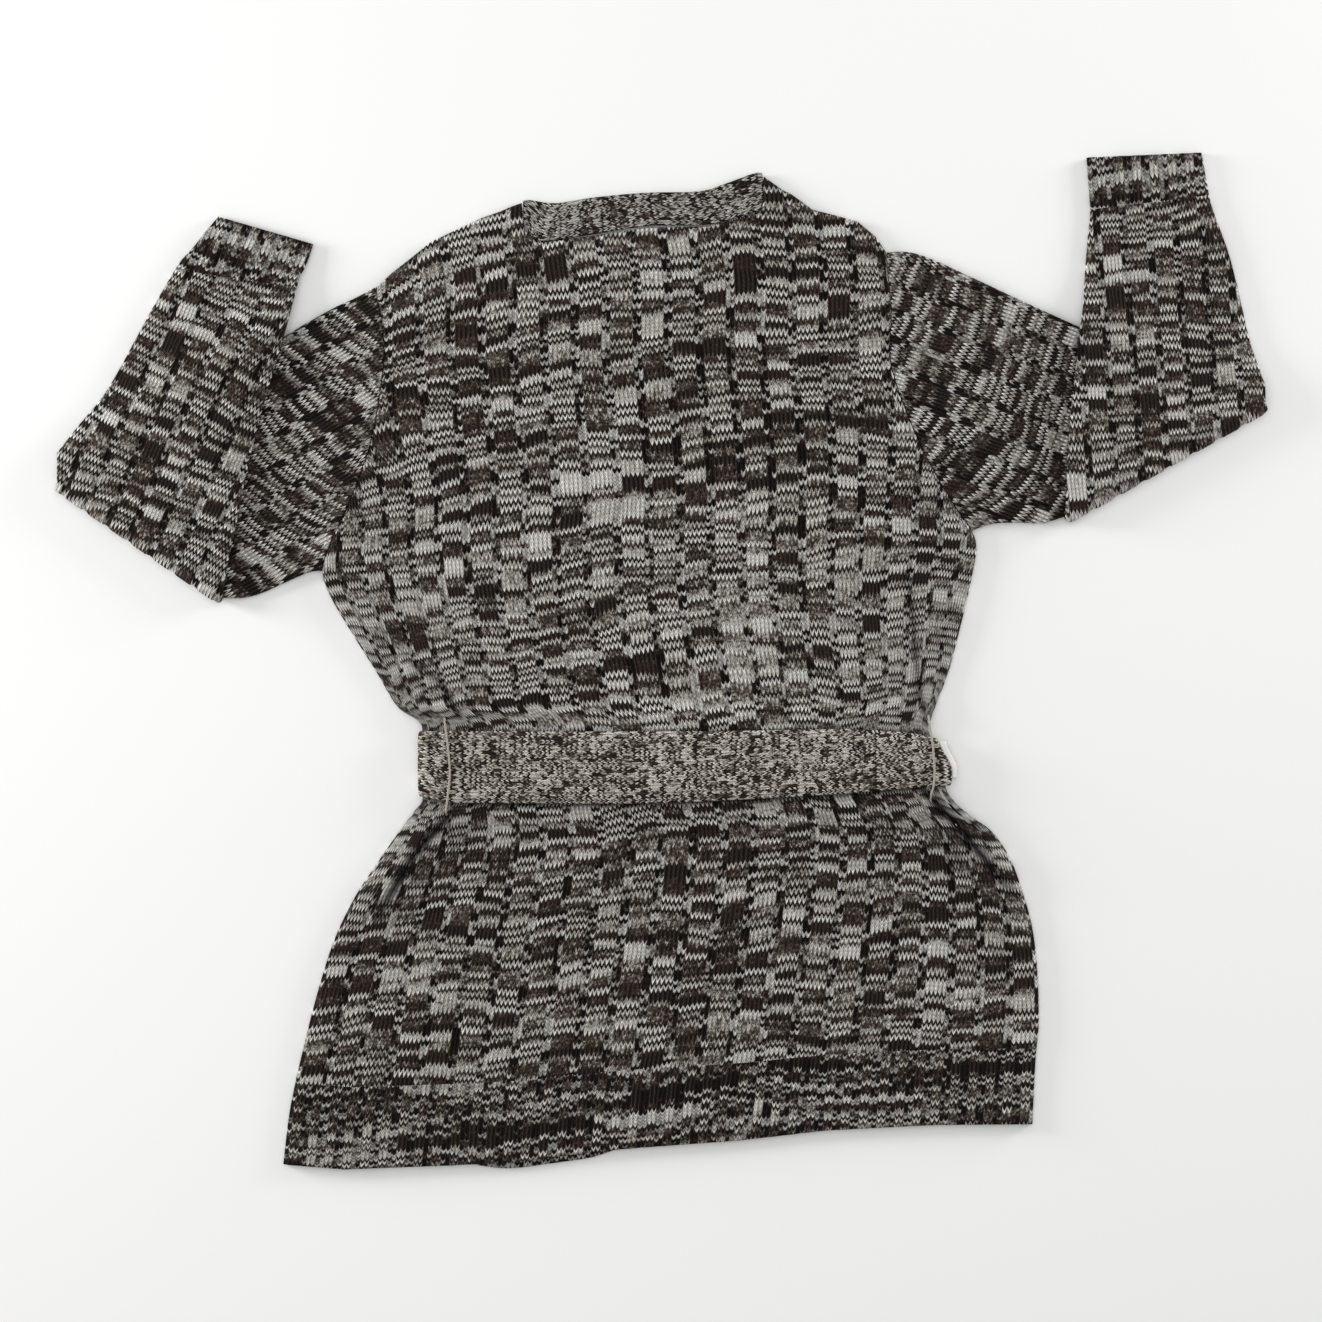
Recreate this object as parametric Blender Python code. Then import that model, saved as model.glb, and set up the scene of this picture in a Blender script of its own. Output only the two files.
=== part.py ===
"""A belted rib-knit cardigan lying on its front, with both sleeves folded over at the elbow.

Plan sizes in the tables are in millimetres, seen from above: x to the right, y towards the neck.
The origin is under the middle of the garment, on the surface it lies on.
"""
import math

import bmesh
import bpy

MM = 0.001

# Thickness of the cloth and of the layers, in millimetres
GAP = 0.3
SEAM_GAP = 1.2
PLAIN_WALL = 2.6
GROOVE_WALL = 1.8
CREST_WALL = 3.2
FRONT_TOP = PLAIN_WALL
BACK_INSIDE = FRONT_TOP + 0.4
LIP_WALL = 2.4
EDGE_ROUND = 6.0

# Belt: a flat knitted strip round the waist, with its ends meeting under the fronts
BELT_WALL = 3.2
BELT_LEFT = -194.0
BELT_RIGHT = 232.0
BELT_LIFT = BELT_WALL + GAP
BELT_LOW_Y = -118.0
BELT_HIGH_Y = -50.0
BELT_RAMP = 24.0
BELT_CORNER = 6.0
BELT_SLANT = 11.0

# Wide rib of the body: 5 knit and 2 purl stitches
RIB_PITCH = 24.8
BODY_RIBS = 24
PURL_SHARE = 0.28
INNER_STEPS = 16
NECK_STEPS = 84
NECK_CORNERS = (-112.6, -111.2, 82.2, 83.2)
NEWTON_STEPS = 8

# Sleeves: a flattened tube of knit
SLEEVE_WALL = 2.0
SLEEVE_RIB = 1.1
SLEEVE_HOLLOW = 0.8
SLEEVE_HEIGHT = 2 * SLEEVE_WALL + SLEEVE_HOLLOW
UPPER_RIBS = 9
FOREARM_RIBS = 6
FOLD_CLEAR = 0.5
SLEEVE_PLAIN = 12

# Back: name, left x, left y, right x, right y, share of the hem curve, share of the neck curve,
# lip depth (1 reaches the surface below), rib height share
BACK_ROWS = (
    ("hem", -302, -402, 297, -370, 1.0, 0.0, 1.0, 0.75),
    ("hem_roll", -301, -397, 297.5, -365, 1.0, 0.0, 1.0, 0.9),
    ("hem_band", -293, -340, 300, -312, 0.8, 0.0, 1.0, 0.75),
    ("above_hem", -288, -318, 302, -290, 0.7, 0.0, 1.0, 1.0),
    ("skirt_low", -276, -270, 301, -250, 0.5, 0.0, 1.0, 1.0),
    ("skirt", -262, -225, 297, -214, 0.3, 0.0, 1.0, 1.0),
    ("hip", -230, -166, 279, -158, 0.1, 0.0, 1.0, 1.0),
    ("gather_low", -212, -140, 264, -136, 0.0, 0.0, 1.0, 1.0),
    ("belt_under", -197, -120, 240, -118, 0.0, 0.0, 1.0, 0.5),
    ("belt_low", -190.5, -110, 228, -103, 0.0, 0.0, 1.0, 0.35),
    ("waist", -190.5, -83, 224, -83, 0.0, 0.0, 1.0, 0.35),
    ("belt_high", -190.5, -55, 214.5, -58, 0.0, 0.0, 1.0, 0.35),
    ("belt_over", -195, -47, 215, -48, 0.0, 0.0, 1.0, 0.6),
    ("gather_high", -211, -36, 221, -32, 0.0, 0.0, 1.0, 1.0),
    ("midriff", -228, -8, 230, -8, 0.0, 0.04, 1.0, 1.0),
    ("ribs_high", -264, 51, 247, 60, 0.0, 0.10, 1.0, 1.0),
    ("below_arm", -270.5, 70, 252, 92, 0.0, 0.14, 1.0, 1.0),
    ("underarm", -265, 92, 244.5, 110, 0.0, 0.17, 0.1, 1.0),
    ("armhole_low", -251, 122, 233, 126, 0.0, 0.2, 0.1, 1.0),
    ("armhole_mid", -232, 174, 206, 175, 0.0, 0.3, 0.1, 1.0),
    ("armhole_high", -222, 232, 184, 235, 0.0, 0.45, 0.1, 1.0),
    ("shoulder_blade", -222, 266, 184, 280, 0.0, 0.68, 0.1, 1.0),
    ("yoke", -225, 284, 181, 308, 0.0, 0.86, 0.1, 0.9),
)

# Top of the back, from the left armhole over the shoulder, round the neck and down to the right
# armhole: x, y, lip depth (1 folds down to the surface, 0.1 is a cut edge)
NECK_LINE = (
    (-228, 298, 0.1), (-215, 310, 0.1), (-200, 322, 1.0), (-184, 335, 1.0), (-144, 354, 1.0),
    (-128, 359.5, 1.0), (-121, 362.5, 0.1), (-112.6, 366, 0.1), (-111.2, 344, 0.1), (-99, 334, 0.1),
    (-57, 339.2, 0.1), (-11, 346.2, 0.1), (34, 347.2, 0.1), (60, 352.2, 0.1), (78, 357.5, 0.1),
    (82.2, 359, 0.1), (83.2, 386.5, 0.1), (91, 380.5, 0.1), (98, 376, 1.0), (103, 374, 1.0),
    (121, 361, 1.0), (157, 351.5, 1.0), (172, 338.5, 0.1), (180, 326, 0.1),
)
YOKE_CHORD = ((-228, 298), (180, 326))
YOKE_RISE = 40.0
ARMHOLE_START = [row[0] for row in BACK_ROWS].index("below_arm")

# Hem line of the back, and how far it lies from a straight line: x, y
HEM_LINE = (
    (-302, -402), (-254, -406), (-171, -403), (-113, -400), (-55, -392), (-15, -388.5),
    (62, -383), (131, -375), (220, -370.5), (297, -370),
)

# Soft folds of the back: name, start x, start y, end x, end y, height, half width
BACK_FOLDS = (
    ("left_hip", -186, -126, -251, -206, 3.8, 11),
    ("right_hip", 222, -104, 300, -196, 3.8, 11),
    ("right_hip_inner", 205, -122, 252, -182, 2.2, 9),
    ("left_waist", -226, 6, -178, -34, 3.4, 10),
    ("right_waist", 219, 78, 225, -30, 3.6, 10),
)

# Fronts: their side edges follow the rows of the back, their centre edges the neck band
FRONT_STEPS = 4
FRONT_CENTRE = -4.0
FRONT_PEEK = 5.0

# Neck band from the hem of the left front round the neck to the hem of the right front:
# seam edge x, y, free edge x, y, height of its middle, tilt of its face in degrees
BAND_TOP = 4.6
BAND_LOW = 1.2
BAND_WALL = 2.2
NECK_BAND = (
    (-34.2, -389.5, -4.4, -387, BAND_LOW, 180), (-34.2, -340, -4.4, -340, BAND_LOW, 180),
    (-34.2, -270, -4.4, -270, BAND_LOW, 180), (-34.2, -200, -4.4, -200, BAND_LOW, 180),
    (-34.2, -142, -4.4, -142, BAND_LOW, 180), (-34.2, -118, -4.4, -118, BAND_LOW, 180),
    (-34.2, -83, -4.4, -83, BAND_LOW, 180), (-34.2, -50, -4.4, -50, BAND_LOW, 180),
    (-34.2, -26, -4.4, -26, BAND_LOW, 180), (-34.2, 40, -4.4, 40, BAND_LOW, 180),
    (-34.2, 112, -4.4, 116, BAND_LOW, 180), (-52, 180, -25, 192, BAND_LOW, 180),
    (-74, 252, -46, 262, BAND_LOW, 180), (-93, 306, -65, 318, BAND_LOW, 180),
    (-104, 331, -80, 350, BAND_LOW, 180), (-107, 347, -95, 366, BAND_LOW, 180),
    (-108.4, 348, -106.4, 367.5, 1.7, 135), (-108.8, 348.5, -107.2, 368.0, 2.9, 90),
    (-108.4, 348, -106.4, 367.5, 4.1, 45), (-106, 345, -101, 368, BAND_TOP, 0),
    (-96.5, 335.8, -84, 365.5, BAND_TOP, 0), (-57, 340.3, -58, 369.6, BAND_TOP, 0),
    (-11, 347.3, -14, 373.8, BAND_TOP, 0), (34, 348.3, 30, 375, BAND_TOP, 0),
    (59, 353.6, 51, 381, BAND_TOP, 0), (76, 359.2, 70, 389.4, BAND_TOP, 0),
    (79.6, 360.8, 77.2, 389.6, 4.1, -45), (80.0, 361.2, 78.2, 389.8, 2.9, -90),
    (79.6, 361.5, 77.2, 389, 1.7, -135), (78, 360, 68, 385, BAND_LOW, -180),
    (74, 341, 46, 356, BAND_LOW, -180), (61, 302, 33, 312, BAND_LOW, -180),
    (45, 240, 17, 249, BAND_LOW, -180), (32, 180, 4, 188, BAND_LOW, -180),
    (26.2, 112, -3.6, 116, BAND_LOW, -180), (26.2, 40, -3.6, 40, BAND_LOW, -180),
    (26.2, -26, -3.6, -26, BAND_LOW, -180), (26.2, -50, -3.6, -50, BAND_LOW, -180),
    (26.2, -83, -3.6, -83, BAND_LOW, -180), (26.2, -118, -3.6, -118, BAND_LOW, -180),
    (26.2, -142, -3.6, -142, BAND_LOW, -180), (26.2, -200, -3.6, -200, BAND_LOW, -180),
    (26.2, -270, -3.6, -270, BAND_LOW, -180), (26.2, -340, -3.6, -340, BAND_LOW, -180),
    (26.2, -383.5, -3.6, -386, BAND_LOW, -180),
)

# Belt edges over the back, lower and upper: x, lower y, upper y
BELT_EDGES = (
    (-194, -107, -56), (-168, -113, -56), (-16, -114, -56), (32, -112, -56), (93, -109, -55),
    (149, -105.5, -54), (207, -100.5, -57), (232, -99, -62),
)

# Left sleeve: over-arm edge x, y, under-arm edge x, y, share of the armhole's curve in the row
LEFT_UPPER = (
    (-229.1, 298.5, -272, 72, 1.0), (-245, 290, -280, 71.5, 0.75), (-264, 281, -289, 68, 0.5),
    (-300, 260, -302, 62, 0.2), (-348, 228, -315, 56, 0), (-400, 194, -326, 52, 0),
    (-452, 160, -337, 50, 0),
)
LEFT_FOLD = (-485, 137.5, -352.5, 45.5)
LEFT_FOREARM = (
    (-482, 166, -347, 70, 0), (-462, 192, -338, 112, 0), (-447, 210, -330, 152, 0),
    (-433, 233, -320, 192, 0), (-420, 257, -310, 228, 0), (-403, 288, -298, 268, 0),
    (-385, 318, -289, 304, 0), (-376, 328, -285, 313, 0), (-365, 342, -281, 323, 0),
    (-354, 355, -278, 333, 0),
)
RIGHT_UPPER = (
    (181.1, 326.5, 253, 104, 1.0), (197, 327, 262, 108, 0.75), (217, 321, 270, 110, 0.5),
    (252, 305, 280, 110.5, 0.2), (312, 277, 290, 110.5, 0), (382, 246, 298, 110, 0),
    (452, 215, 306, 110, 0),
)
RIGHT_FOLD = (485, 200, 325, 110)
RIGHT_FOREARM = (
    (482, 220, 323, 132, 0), (476, 238, 324, 160, 0), (470, 258, 326, 190, 0),
    (465, 280, 329.5, 222, 0), (460, 302, 332.5, 252, 0), (453, 328, 336.5, 284, 0),
    (442, 358, 341, 338, 0), (438.5, 370, 343, 358, 0), (435, 390, 341.5, 382, 0),
    (432, 406, 340, 402, 0),
)
CUFF_ROWS = 4

# Thread belt loops: x and y from above the belt to below it
LOOP_LEFT = (
    (-172.5, -45), (-172, -50), (-169.5, -68), (-168, -88), (-169, -102), (-171, -118),
    (-171, -123),
)
LOOP_RIGHT = (
    (213, -43), (213.5, -50), (216, -66), (217.5, -84), (217, -98), (215, -106), (215, -112),
)
LOOP_RADIUS = 0.7

# Blank side label: a folded strip of satin that stands out at the right end of the belt
LABEL = {"x": 232.3, "low_y": -98.0, "high_y": -64.0, "width": 7.0, "wall": 0.6, "z": 6.8}

# Colours (linear)
MARL_DARK = (0.072, 0.058, 0.050, 1.0)
MARL_BELT = (0.120, 0.096, 0.078, 1.0)
THREAD_PALE = (0.52, 0.48, 0.42, 1.0)
SATIN_WHITE = (0.80, 0.80, 0.78, 1.0)


def clear_scene():
    """Removes every object of the open file."""
    for thing in list(bpy.data.objects):
        bpy.data.objects.remove(thing, do_unlink=True)


def smooth(edge_a, edge_b, value):
    """Soft step from 0 at edge_a to 1 at edge_b."""
    share = min(1.0, max(0.0, (value - edge_a) / (edge_b - edge_a)))
    return share * share * (3.0 - 2.0 * share)


def blend(a, b, share):
    return a + (b - a) * share


def along(table, x, column):
    """Value of a table's column at x, its first column, on straight pieces."""
    if x <= table[0][0]:
        return table[0][column]
    for low, high in zip(table, table[1:]):
        if x <= high[0]:
            return blend(low[column], high[column], (x - low[0]) / (high[0] - low[0]))
    return table[-1][column]


def chord(ends, x):
    (x0, y0), (x1, y1) = ends
    return y0 + (y1 - y0) * (x - x0) / (x1 - x0)


def belt_lift(y):
    """How far the cloth is lifted where it lies over the belt's hidden part."""
    return BELT_LIFT * min(smooth(BELT_LOW_Y - BELT_RAMP, BELT_LOW_Y, y),
                           smooth(BELT_HIGH_Y + BELT_RAMP, BELT_HIGH_Y, y))


def fold_height(x, y):
    """Height of the back's soft folds at a point."""
    height = 0.0
    for _name, x0, y0, x1, y1, top, half in BACK_FOLDS:
        run = math.hypot(x1 - x0, y1 - y0)
        ux, uy = (x1 - x0) / run, (y1 - y0) / run
        forward = (x - x0) * ux + (y - y0) * uy
        across = (x - x0) * uy - (y - y0) * ux
        ends = smooth(-0.15 * run, 0.2 * run, forward) * smooth(1.2 * run, 0.75 * run, forward)
        height = max(height, top * ends * math.exp(-(across / half) ** 2))
    return height


def make_piece(name, points, faces, colour, roughness=0.9):
    """One named object from points in millimetres, closed and smooth shaded."""
    mesh = bpy.data.meshes.new(name)
    mesh.from_pydata([(x * MM, y * MM, z * MM) for x, y, z in points], [], faces)
    shape = bmesh.new()
    shape.from_mesh(mesh)
    bmesh.ops.recalc_face_normals(shape, faces=shape.faces)
    shape.to_mesh(mesh)
    shape.free()
    mesh.shade_smooth()
    mesh.set_sharp_from_angle(angle=math.radians(50))
    material = bpy.data.materials.new(name + "_cloth")
    material.use_nodes = True
    shader = material.node_tree.nodes["Principled BSDF"]
    shader.inputs["Base Color"].default_value = colour
    shader.inputs["Roughness"].default_value = roughness
    shader.inputs["Metallic"].default_value = 0.0
    mesh.materials.append(material)
    piece = bpy.data.objects.new(name, mesh)
    bpy.context.collection.objects.link(piece)
    return piece


class Wall:
    """Collects a closed wall from rows of outer and inner points, each with a place along its row."""

    def __init__(self):
        self.points = []
        self.faces = []

    def row(self, places):
        """Adds a row of (place, point) and returns it as (place, index)."""
        first = len(self.points)
        self.points.extend(point for _place, point in places)
        return [(place, first + i) for i, (place, _point) in enumerate(places)]

    def zip_rows(self, row_a, row_b):
        """Triangles between two rows, which may have different numbers of points."""
        i, j = 0, 0
        while i < len(row_a) - 1 or j < len(row_b) - 1:
            next_a = row_a[i + 1][0] if i < len(row_a) - 1 else math.inf
            next_b = row_b[j + 1][0] if j < len(row_b) - 1 else math.inf
            if next_a <= next_b:
                self.faces.append((row_a[i][1], row_a[i + 1][1], row_b[j][1]))
                i += 1
            else:
                self.faces.append((row_a[i][1], row_b[j + 1][1], row_b[j][1]))
                j += 1

    def sheet(self, outer_rows, inner_rows, inner_keys=None):
        """A closed wall between an outer and an inner face with free side edges. inner_keys give
        the outer row that each inner row lies at, where they aren't one to one."""
        inner_keys = inner_keys or range(len(inner_rows))
        outer = [self.row(places) for places in outer_rows]
        inner = [self.row(places) for places in inner_rows]
        for a, b in zip(outer, outer[1:]):
            self.zip_rows(a, b)
        for a, b in zip(inner, inner[1:]):
            self.zip_rows(a, b)
        for side in (0, -1):
            edge_out = [(k, row[side][1]) for k, row in enumerate(outer)]
            edge_in = [(k, row[side][1]) for k, row in zip(inner_keys, inner)]
            self.zip_rows(edge_out, edge_in)
        for end in (0, -1):
            self.zip_rows(outer[end], inner[end])

    def tube(self, outer_rows, inner_rows):
        """A closed wall of tube form: each row is a ring, and both ends are open."""
        outer = [self.ring(places) for places in outer_rows]
        inner = [self.ring(places) for places in inner_rows]
        for a, b in zip(outer, outer[1:]):
            self.zip_rows(a, b)
        for a, b in zip(inner, inner[1:]):
            self.zip_rows(a, b)
        for end in (0, -1):
            self.zip_rows(outer[end], inner[end])

    def ring(self, places):
        row = self.row(places)
        return row + [(1.0, row[0][1])]


def rib_places(ribs, relief):
    """Places from -1 to 1 across a ribbed face, with the rib height at each: 3 for each rib."""
    places = []
    for rib in range(ribs):
        places.append((rib / ribs, 0.0))
        places.append(((rib + PURL_SHARE / 2 + 0.02) / ribs, relief))
        places.append(((rib + 1 - PURL_SHARE / 2 - 0.02) / ribs, relief))
    places.append((1.0, 0.0))
    return [(2.0 * place - 1.0, height) for place, height in places]


def edge_spread(t, width):
    """Keeps the ribs at their pitch in the middle of a row and draws them together at its sides."""
    pull = min(1.38, BODY_RIBS * RIB_PITCH / width)
    return pull * t + (1.0 - pull) * t ** 3


def back_row_line(row):
    """The place function of one row of the back, from -1 to 1, to x and y."""
    _name, xl, yl, xr, yr, hem_share, neck_share, _lip, _rib = row
    half = (xr - xl) / 2
    middle = (xr + xl) / 2
    hem_ends = (HEM_LINE[0], HEM_LINE[-1])

    def line(t, inset=0.0):
        x = middle + (half - inset) * t
        y = chord(((xl, yl), (xr, yr)), x)
        share = (x - xl) / (xr - xl)
        hem_x = blend(HEM_LINE[0][0], HEM_LINE[-1][0], share)
        y += hem_share * (along(HEM_LINE, hem_x, 1) - chord(hem_ends, hem_x))
        neck_x = blend(YOKE_CHORD[0][0], YOKE_CHORD[1][0], share)
        rise = min(YOKE_RISE, along(NECK_LINE, neck_x, 1) - chord(YOKE_CHORD, neck_x))
        y += neck_share * rise
        return x, y

    return line


def outer_height(x, y, relief):
    """Height of the back's upper face above the table, with its rounded sides left out."""
    return BACK_INSIDE + belt_lift(y) + fold_height(x, y) + GROOVE_WALL + relief


def back_outer_row(row):
    """Outer points of a row of the back: lip, rounded side, ribbed face, rounded side, lip."""
    line = back_row_line(row)
    xl, xr, lip, rib_share = row[1], row[3], row[7], row[8]
    width = xr - xl
    relief = (CREST_WALL - GROOVE_WALL) * rib_share
    places = []
    for side in (-1, 1):
        x, y = line(side)
        low = blend(BACK_INSIDE + belt_lift(y), belt_lift(y), lip)
        top = BACK_INSIDE + belt_lift(y) + GROOVE_WALL + fold_height(x, y)
        bend = EDGE_ROUND * 0.25
        group = [(side, (x, y, low)), (side * 0.999, (x, y, blend(low, top, 0.55))),
                 (side * 0.998, (x - side * bend, y, top - 0.7))]
        places.append(group)
    face = []
    for t, height in rib_places(BODY_RIBS, relief):
        x, y = line(edge_spread(t, width), EDGE_ROUND * 0.8)
        fade = smooth(0.0, 0.12, 1.0 - abs(t))
        face.append((t * 0.995, (x, y, outer_height(x, y, height * fade))))
    return places[0] + face + places[1][::-1]


def back_inner_row(row):
    """Inner points of a row of the back, plain, down the inside of each lip."""
    line = back_row_line(row)
    lip = row[7]
    places = []
    for side in (-1, 1):
        x, y = line(side, LIP_WALL)
        low = blend(BACK_INSIDE + belt_lift(y), belt_lift(y), lip)
        places.append([(side, (x, y, low)), (side * 0.999, (x, y, BACK_INSIDE + belt_lift(y)))])
    if row[0] == "hem":
        spread = [(t * 0.995, edge_spread(t, row[3] - row[1])) for t, _height in rib_places(BODY_RIBS, 0)]
    else:
        spread = [(2.0 * k / INNER_STEPS - 1.0,) * 2 for k in range(1, INNER_STEPS)]
    face = []
    for place, across in spread:
        x, y = line(across, EDGE_ROUND * 0.8 if row[0] == "hem" else LIP_WALL)
        face.append((place, (x, y, BACK_INSIDE + belt_lift(y) + fold_height(x, y))))
    return places[0] + face + places[1][::-1]


def neck_places(reach, middle, width):
    """Places across the neck rows: even steps, and one at each steep corner of the neck line."""
    corners = []
    for corner in NECK_CORNERS:
        target = (corner - middle) / reach
        t = target
        for _step in range(NEWTON_STEPS):
            slope = (edge_spread(t + 0.001, width) - edge_spread(t, width)) / 0.001
            t += (target - edge_spread(t, width)) / slope
        corners.append(t)
    even = [2.0 * k / NECK_STEPS - 1.0 for k in range(NECK_STEPS + 1)]
    clear = [t for t in even if min(abs(t - corner) for corner in corners) > 0.5 / NECK_STEPS]
    return sorted(corners + clear)


def neck_y(x, reach_in):
    """The neck line at x, kept inside its steep corners by reach_in."""
    if min(abs(x - corner) for corner in NECK_CORNERS) > reach_in:
        return along(NECK_LINE, x, 1)
    return min(along(NECK_LINE, x + step, 1) for step in (-reach_in, 0.0, reach_in))


def neck_row(outer, inset, height, drop):
    """One row along the neck line, moved in from it. drop is 1 at the foot of the turned edge."""
    left, right = NECK_LINE[0][0], NECK_LINE[-1][0]
    middle, half = (left + right) / 2, (right - left) / 2
    reach = half - EDGE_ROUND * 0.8
    inside = 0.0 if outer else 2.0
    reach_in = min(LIP_WALL, 0.5 * inset) + inside * 0.5
    places = []
    for t in neck_places(reach, middle, right - left):
        across = edge_spread(t, right - left)
        x = middle + reach * across
        foot = blend(BACK_INSIDE, 0.0, along(NECK_LINE, x, 2))
        y = neck_y(x, reach_in) - inset
        shift = inside * across * smooth(0.85, 1.0, abs(across))
        places.append((t * 0.995, (x - shift, y, blend(height, foot, drop))))
    foot = BACK_INSIDE - GAP
    for side, end in ((-1, NECK_LINE[0]), (1, NECK_LINE[-1])):
        y = end[1] - inset - inside
        x = armhole_x(side, y)
        if outer:
            edge = [(side, (x, y, foot)), (side * 0.999, (x - side, y, blend(places[0][1][2], foot, 0.4)))]
        else:
            edge = [(side, (x - side * LIP_WALL, y, blend(height, foot, drop)))]
        places = edge + places if side < 0 else places + edge[::-1]
    return places


def build_back():
    wall = Wall()
    outer = [back_outer_row(row) for row in BACK_ROWS]
    inner = [back_inner_row(row) for row in BACK_ROWS]
    top = BACK_INSIDE + GROOVE_WALL + 0.6
    for inset, drop in ((9.0, 0.0), (2.4, 0.12), (0.4, 0.5), (0.0, 1.0)):
        outer.append(neck_row(True, inset, top, drop))
    for inset, drop in ((9.0, 0.0), (LIP_WALL + 1.2, 0.0), (LIP_WALL + 1.2, 1.0)):
        inner.append(neck_row(False, inset, BACK_INSIDE, drop))
    last = len(outer) - 1
    wall.sheet(outer, inner, list(range(len(inner) - 1)) + [last])
    return make_piece("back", wall.points, wall.faces, MARL_DARK)


def band_edge_x(y, side):
    """x of the band's seam edge under the fronts, at a height y."""
    tilt = 180 if side < 0 else -180
    table = sorted((row[1], row[0]) for row in NECK_BAND if row[5] == tilt)
    return along(table, y, 1)


def front_row(index, side, bottom):
    """One row of a front from its side edge to its centre edge, as a flat wall face."""
    row = BACK_ROWS[index]
    lipped = row[7] > 0.5 or BACK_ROWS[index - 1][7] > 0.5
    x_side, y_side = back_row_line(row)(side, LIP_WALL + GAP if lipped else 0.0)
    level = chord(((row[1], row[2]), (row[3], row[4])), FRONT_CENTRE)
    if row[0] == "hem":
        x_side -= side * 0.8
        level = along(HEM_LINE, side * 20, 1) + 2.0
    x_inner = band_edge_x(level, side) + side * GAP
    places = []
    for k in range(FRONT_STEPS + 1):
        share = k / FRONT_STEPS
        x = blend(x_side, x_inner, share)
        y = blend(y_side, level, share)
        if row[0] == "hem":
            y = along(HEM_LINE, x, 1) + 3.0 - (3.0 + FRONT_PEEK) * front_peek(x)
        places.append((share, (x, y, belt_lift(y) + (0.0 if bottom else FRONT_TOP))))
    return places


def front_peek(x):
    """The hem of the left front shows a little below the back's, near the centre."""
    return smooth(-175, -120, x) * smooth(-20, -60, x)


def shoulder_row(side, bottom):
    """Top row of a front, under the shoulder of the back and inside its lip."""
    inset = LIP_WALL + 2.7 + GAP
    x_outer, x_inner = (-225.5, -126) if side < 0 else (177.5, 100)
    places = []
    for k in range(FRONT_STEPS * 2 + 1):
        share = k / (FRONT_STEPS * 2)
        x = blend(x_outer, x_inner, share)
        y = along(NECK_LINE, x, 1) - inset - 4.0 * share ** 2
        places.append((share, (x, y, 0.0 if bottom else FRONT_TOP)))
    return places


def build_front(name, side):
    wall = Wall()
    faces = []
    for bottom in (False, True):
        picked = [index for index, row in enumerate(BACK_ROWS[:-1]) if row[0] != "hem_roll"]
        rows = [front_row(index, side, bottom) for index in picked]
        rows.append(shoulder_row(side, bottom))
        faces.append(rows)
    wall.sheet(faces[0], faces[1])
    return make_piece(name, wall.points, wall.faces, MARL_DARK)


def build_neck_band():
    """One strip, swept along its table, with a thin flat section that turns over at the neck."""
    wall = Wall()
    outer_rows, inner_rows = [], []
    for ax, ay, bx, by, height, tilt in NECK_BAND:
        angle = math.radians(tilt)
        across = math.hypot(bx - ax, by - ay)
        side_x, side_y = (by - ay) / across, -(bx - ax) / across
        nx, ny, nz = -side_x * math.sin(angle), -side_y * math.sin(angle), math.cos(angle)
        outer, inner = [], []
        for k in range(5):
            share = k / 4
            x, y = blend(ax, bx, share), blend(ay, by, share)
            z = height + (belt_lift(y) if abs(tilt) > 90 else 0.0)
            swell = BAND_WALL / 2 * (0.55 if k in (0, 4) else 1.0)
            outer.append((share, (x + nx * swell, y + ny * swell, z + nz * swell)))
            plain = BAND_WALL / 2
            inner.append((share, (x - nx * plain, y - ny * plain, z - nz * plain)))
        outer_rows.append(outer)
        inner_rows.append(inner)
    wall.sheet(outer_rows, inner_rows)
    return make_piece("neck_band", wall.points, wall.faces, MARL_DARK)


def belt_path():
    """Stations round the waist: inner x and z, and the outward direction. Under, side, over, side."""
    low = BELT_WALL
    high = BACK_INSIDE + BELT_LIFT + CREST_WALL + 0.7
    corners = ((0.0, 0.0, 225), (0.0, 0.5, 180), (0.0, 0.75, 160), (2.6, 0.97, 125))
    run_in = BELT_WALL + BELT_CORNER
    left = [(BELT_LEFT + BELT_WALL + dx, blend(low, high, up), turn) for dx, up, turn in corners]
    right = [(BELT_RIGHT - BELT_WALL - dx, blend(low, high, up), 180 - turn) for dx, up, turn in corners]
    stations = []
    for k in range(7):
        stations.append((blend(FRONT_CENTRE - 0.6, BELT_LEFT + run_in, k / 6), low, -90))
    stations.extend(left)
    for k in range(17):
        x = blend(BELT_LEFT + run_in, BELT_RIGHT - run_in, k / 16)
        stations.append((x, high + belt_swell(x), 90))
    stations.extend(right[::-1])
    for k in range(7):
        stations.append((blend(BELT_RIGHT - run_in, FRONT_CENTRE + 0.6, k / 6), low, -90))
    return [(x, z, math.cos(math.radians(turn)), math.sin(math.radians(turn))) for x, z, turn in stations]


def belt_swell(x):
    """The belt stands up a little where the cloth under it is gathered at the sides."""
    return 0.5 * (smooth(-120, -180, x) + smooth(160, 215, x))


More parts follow.
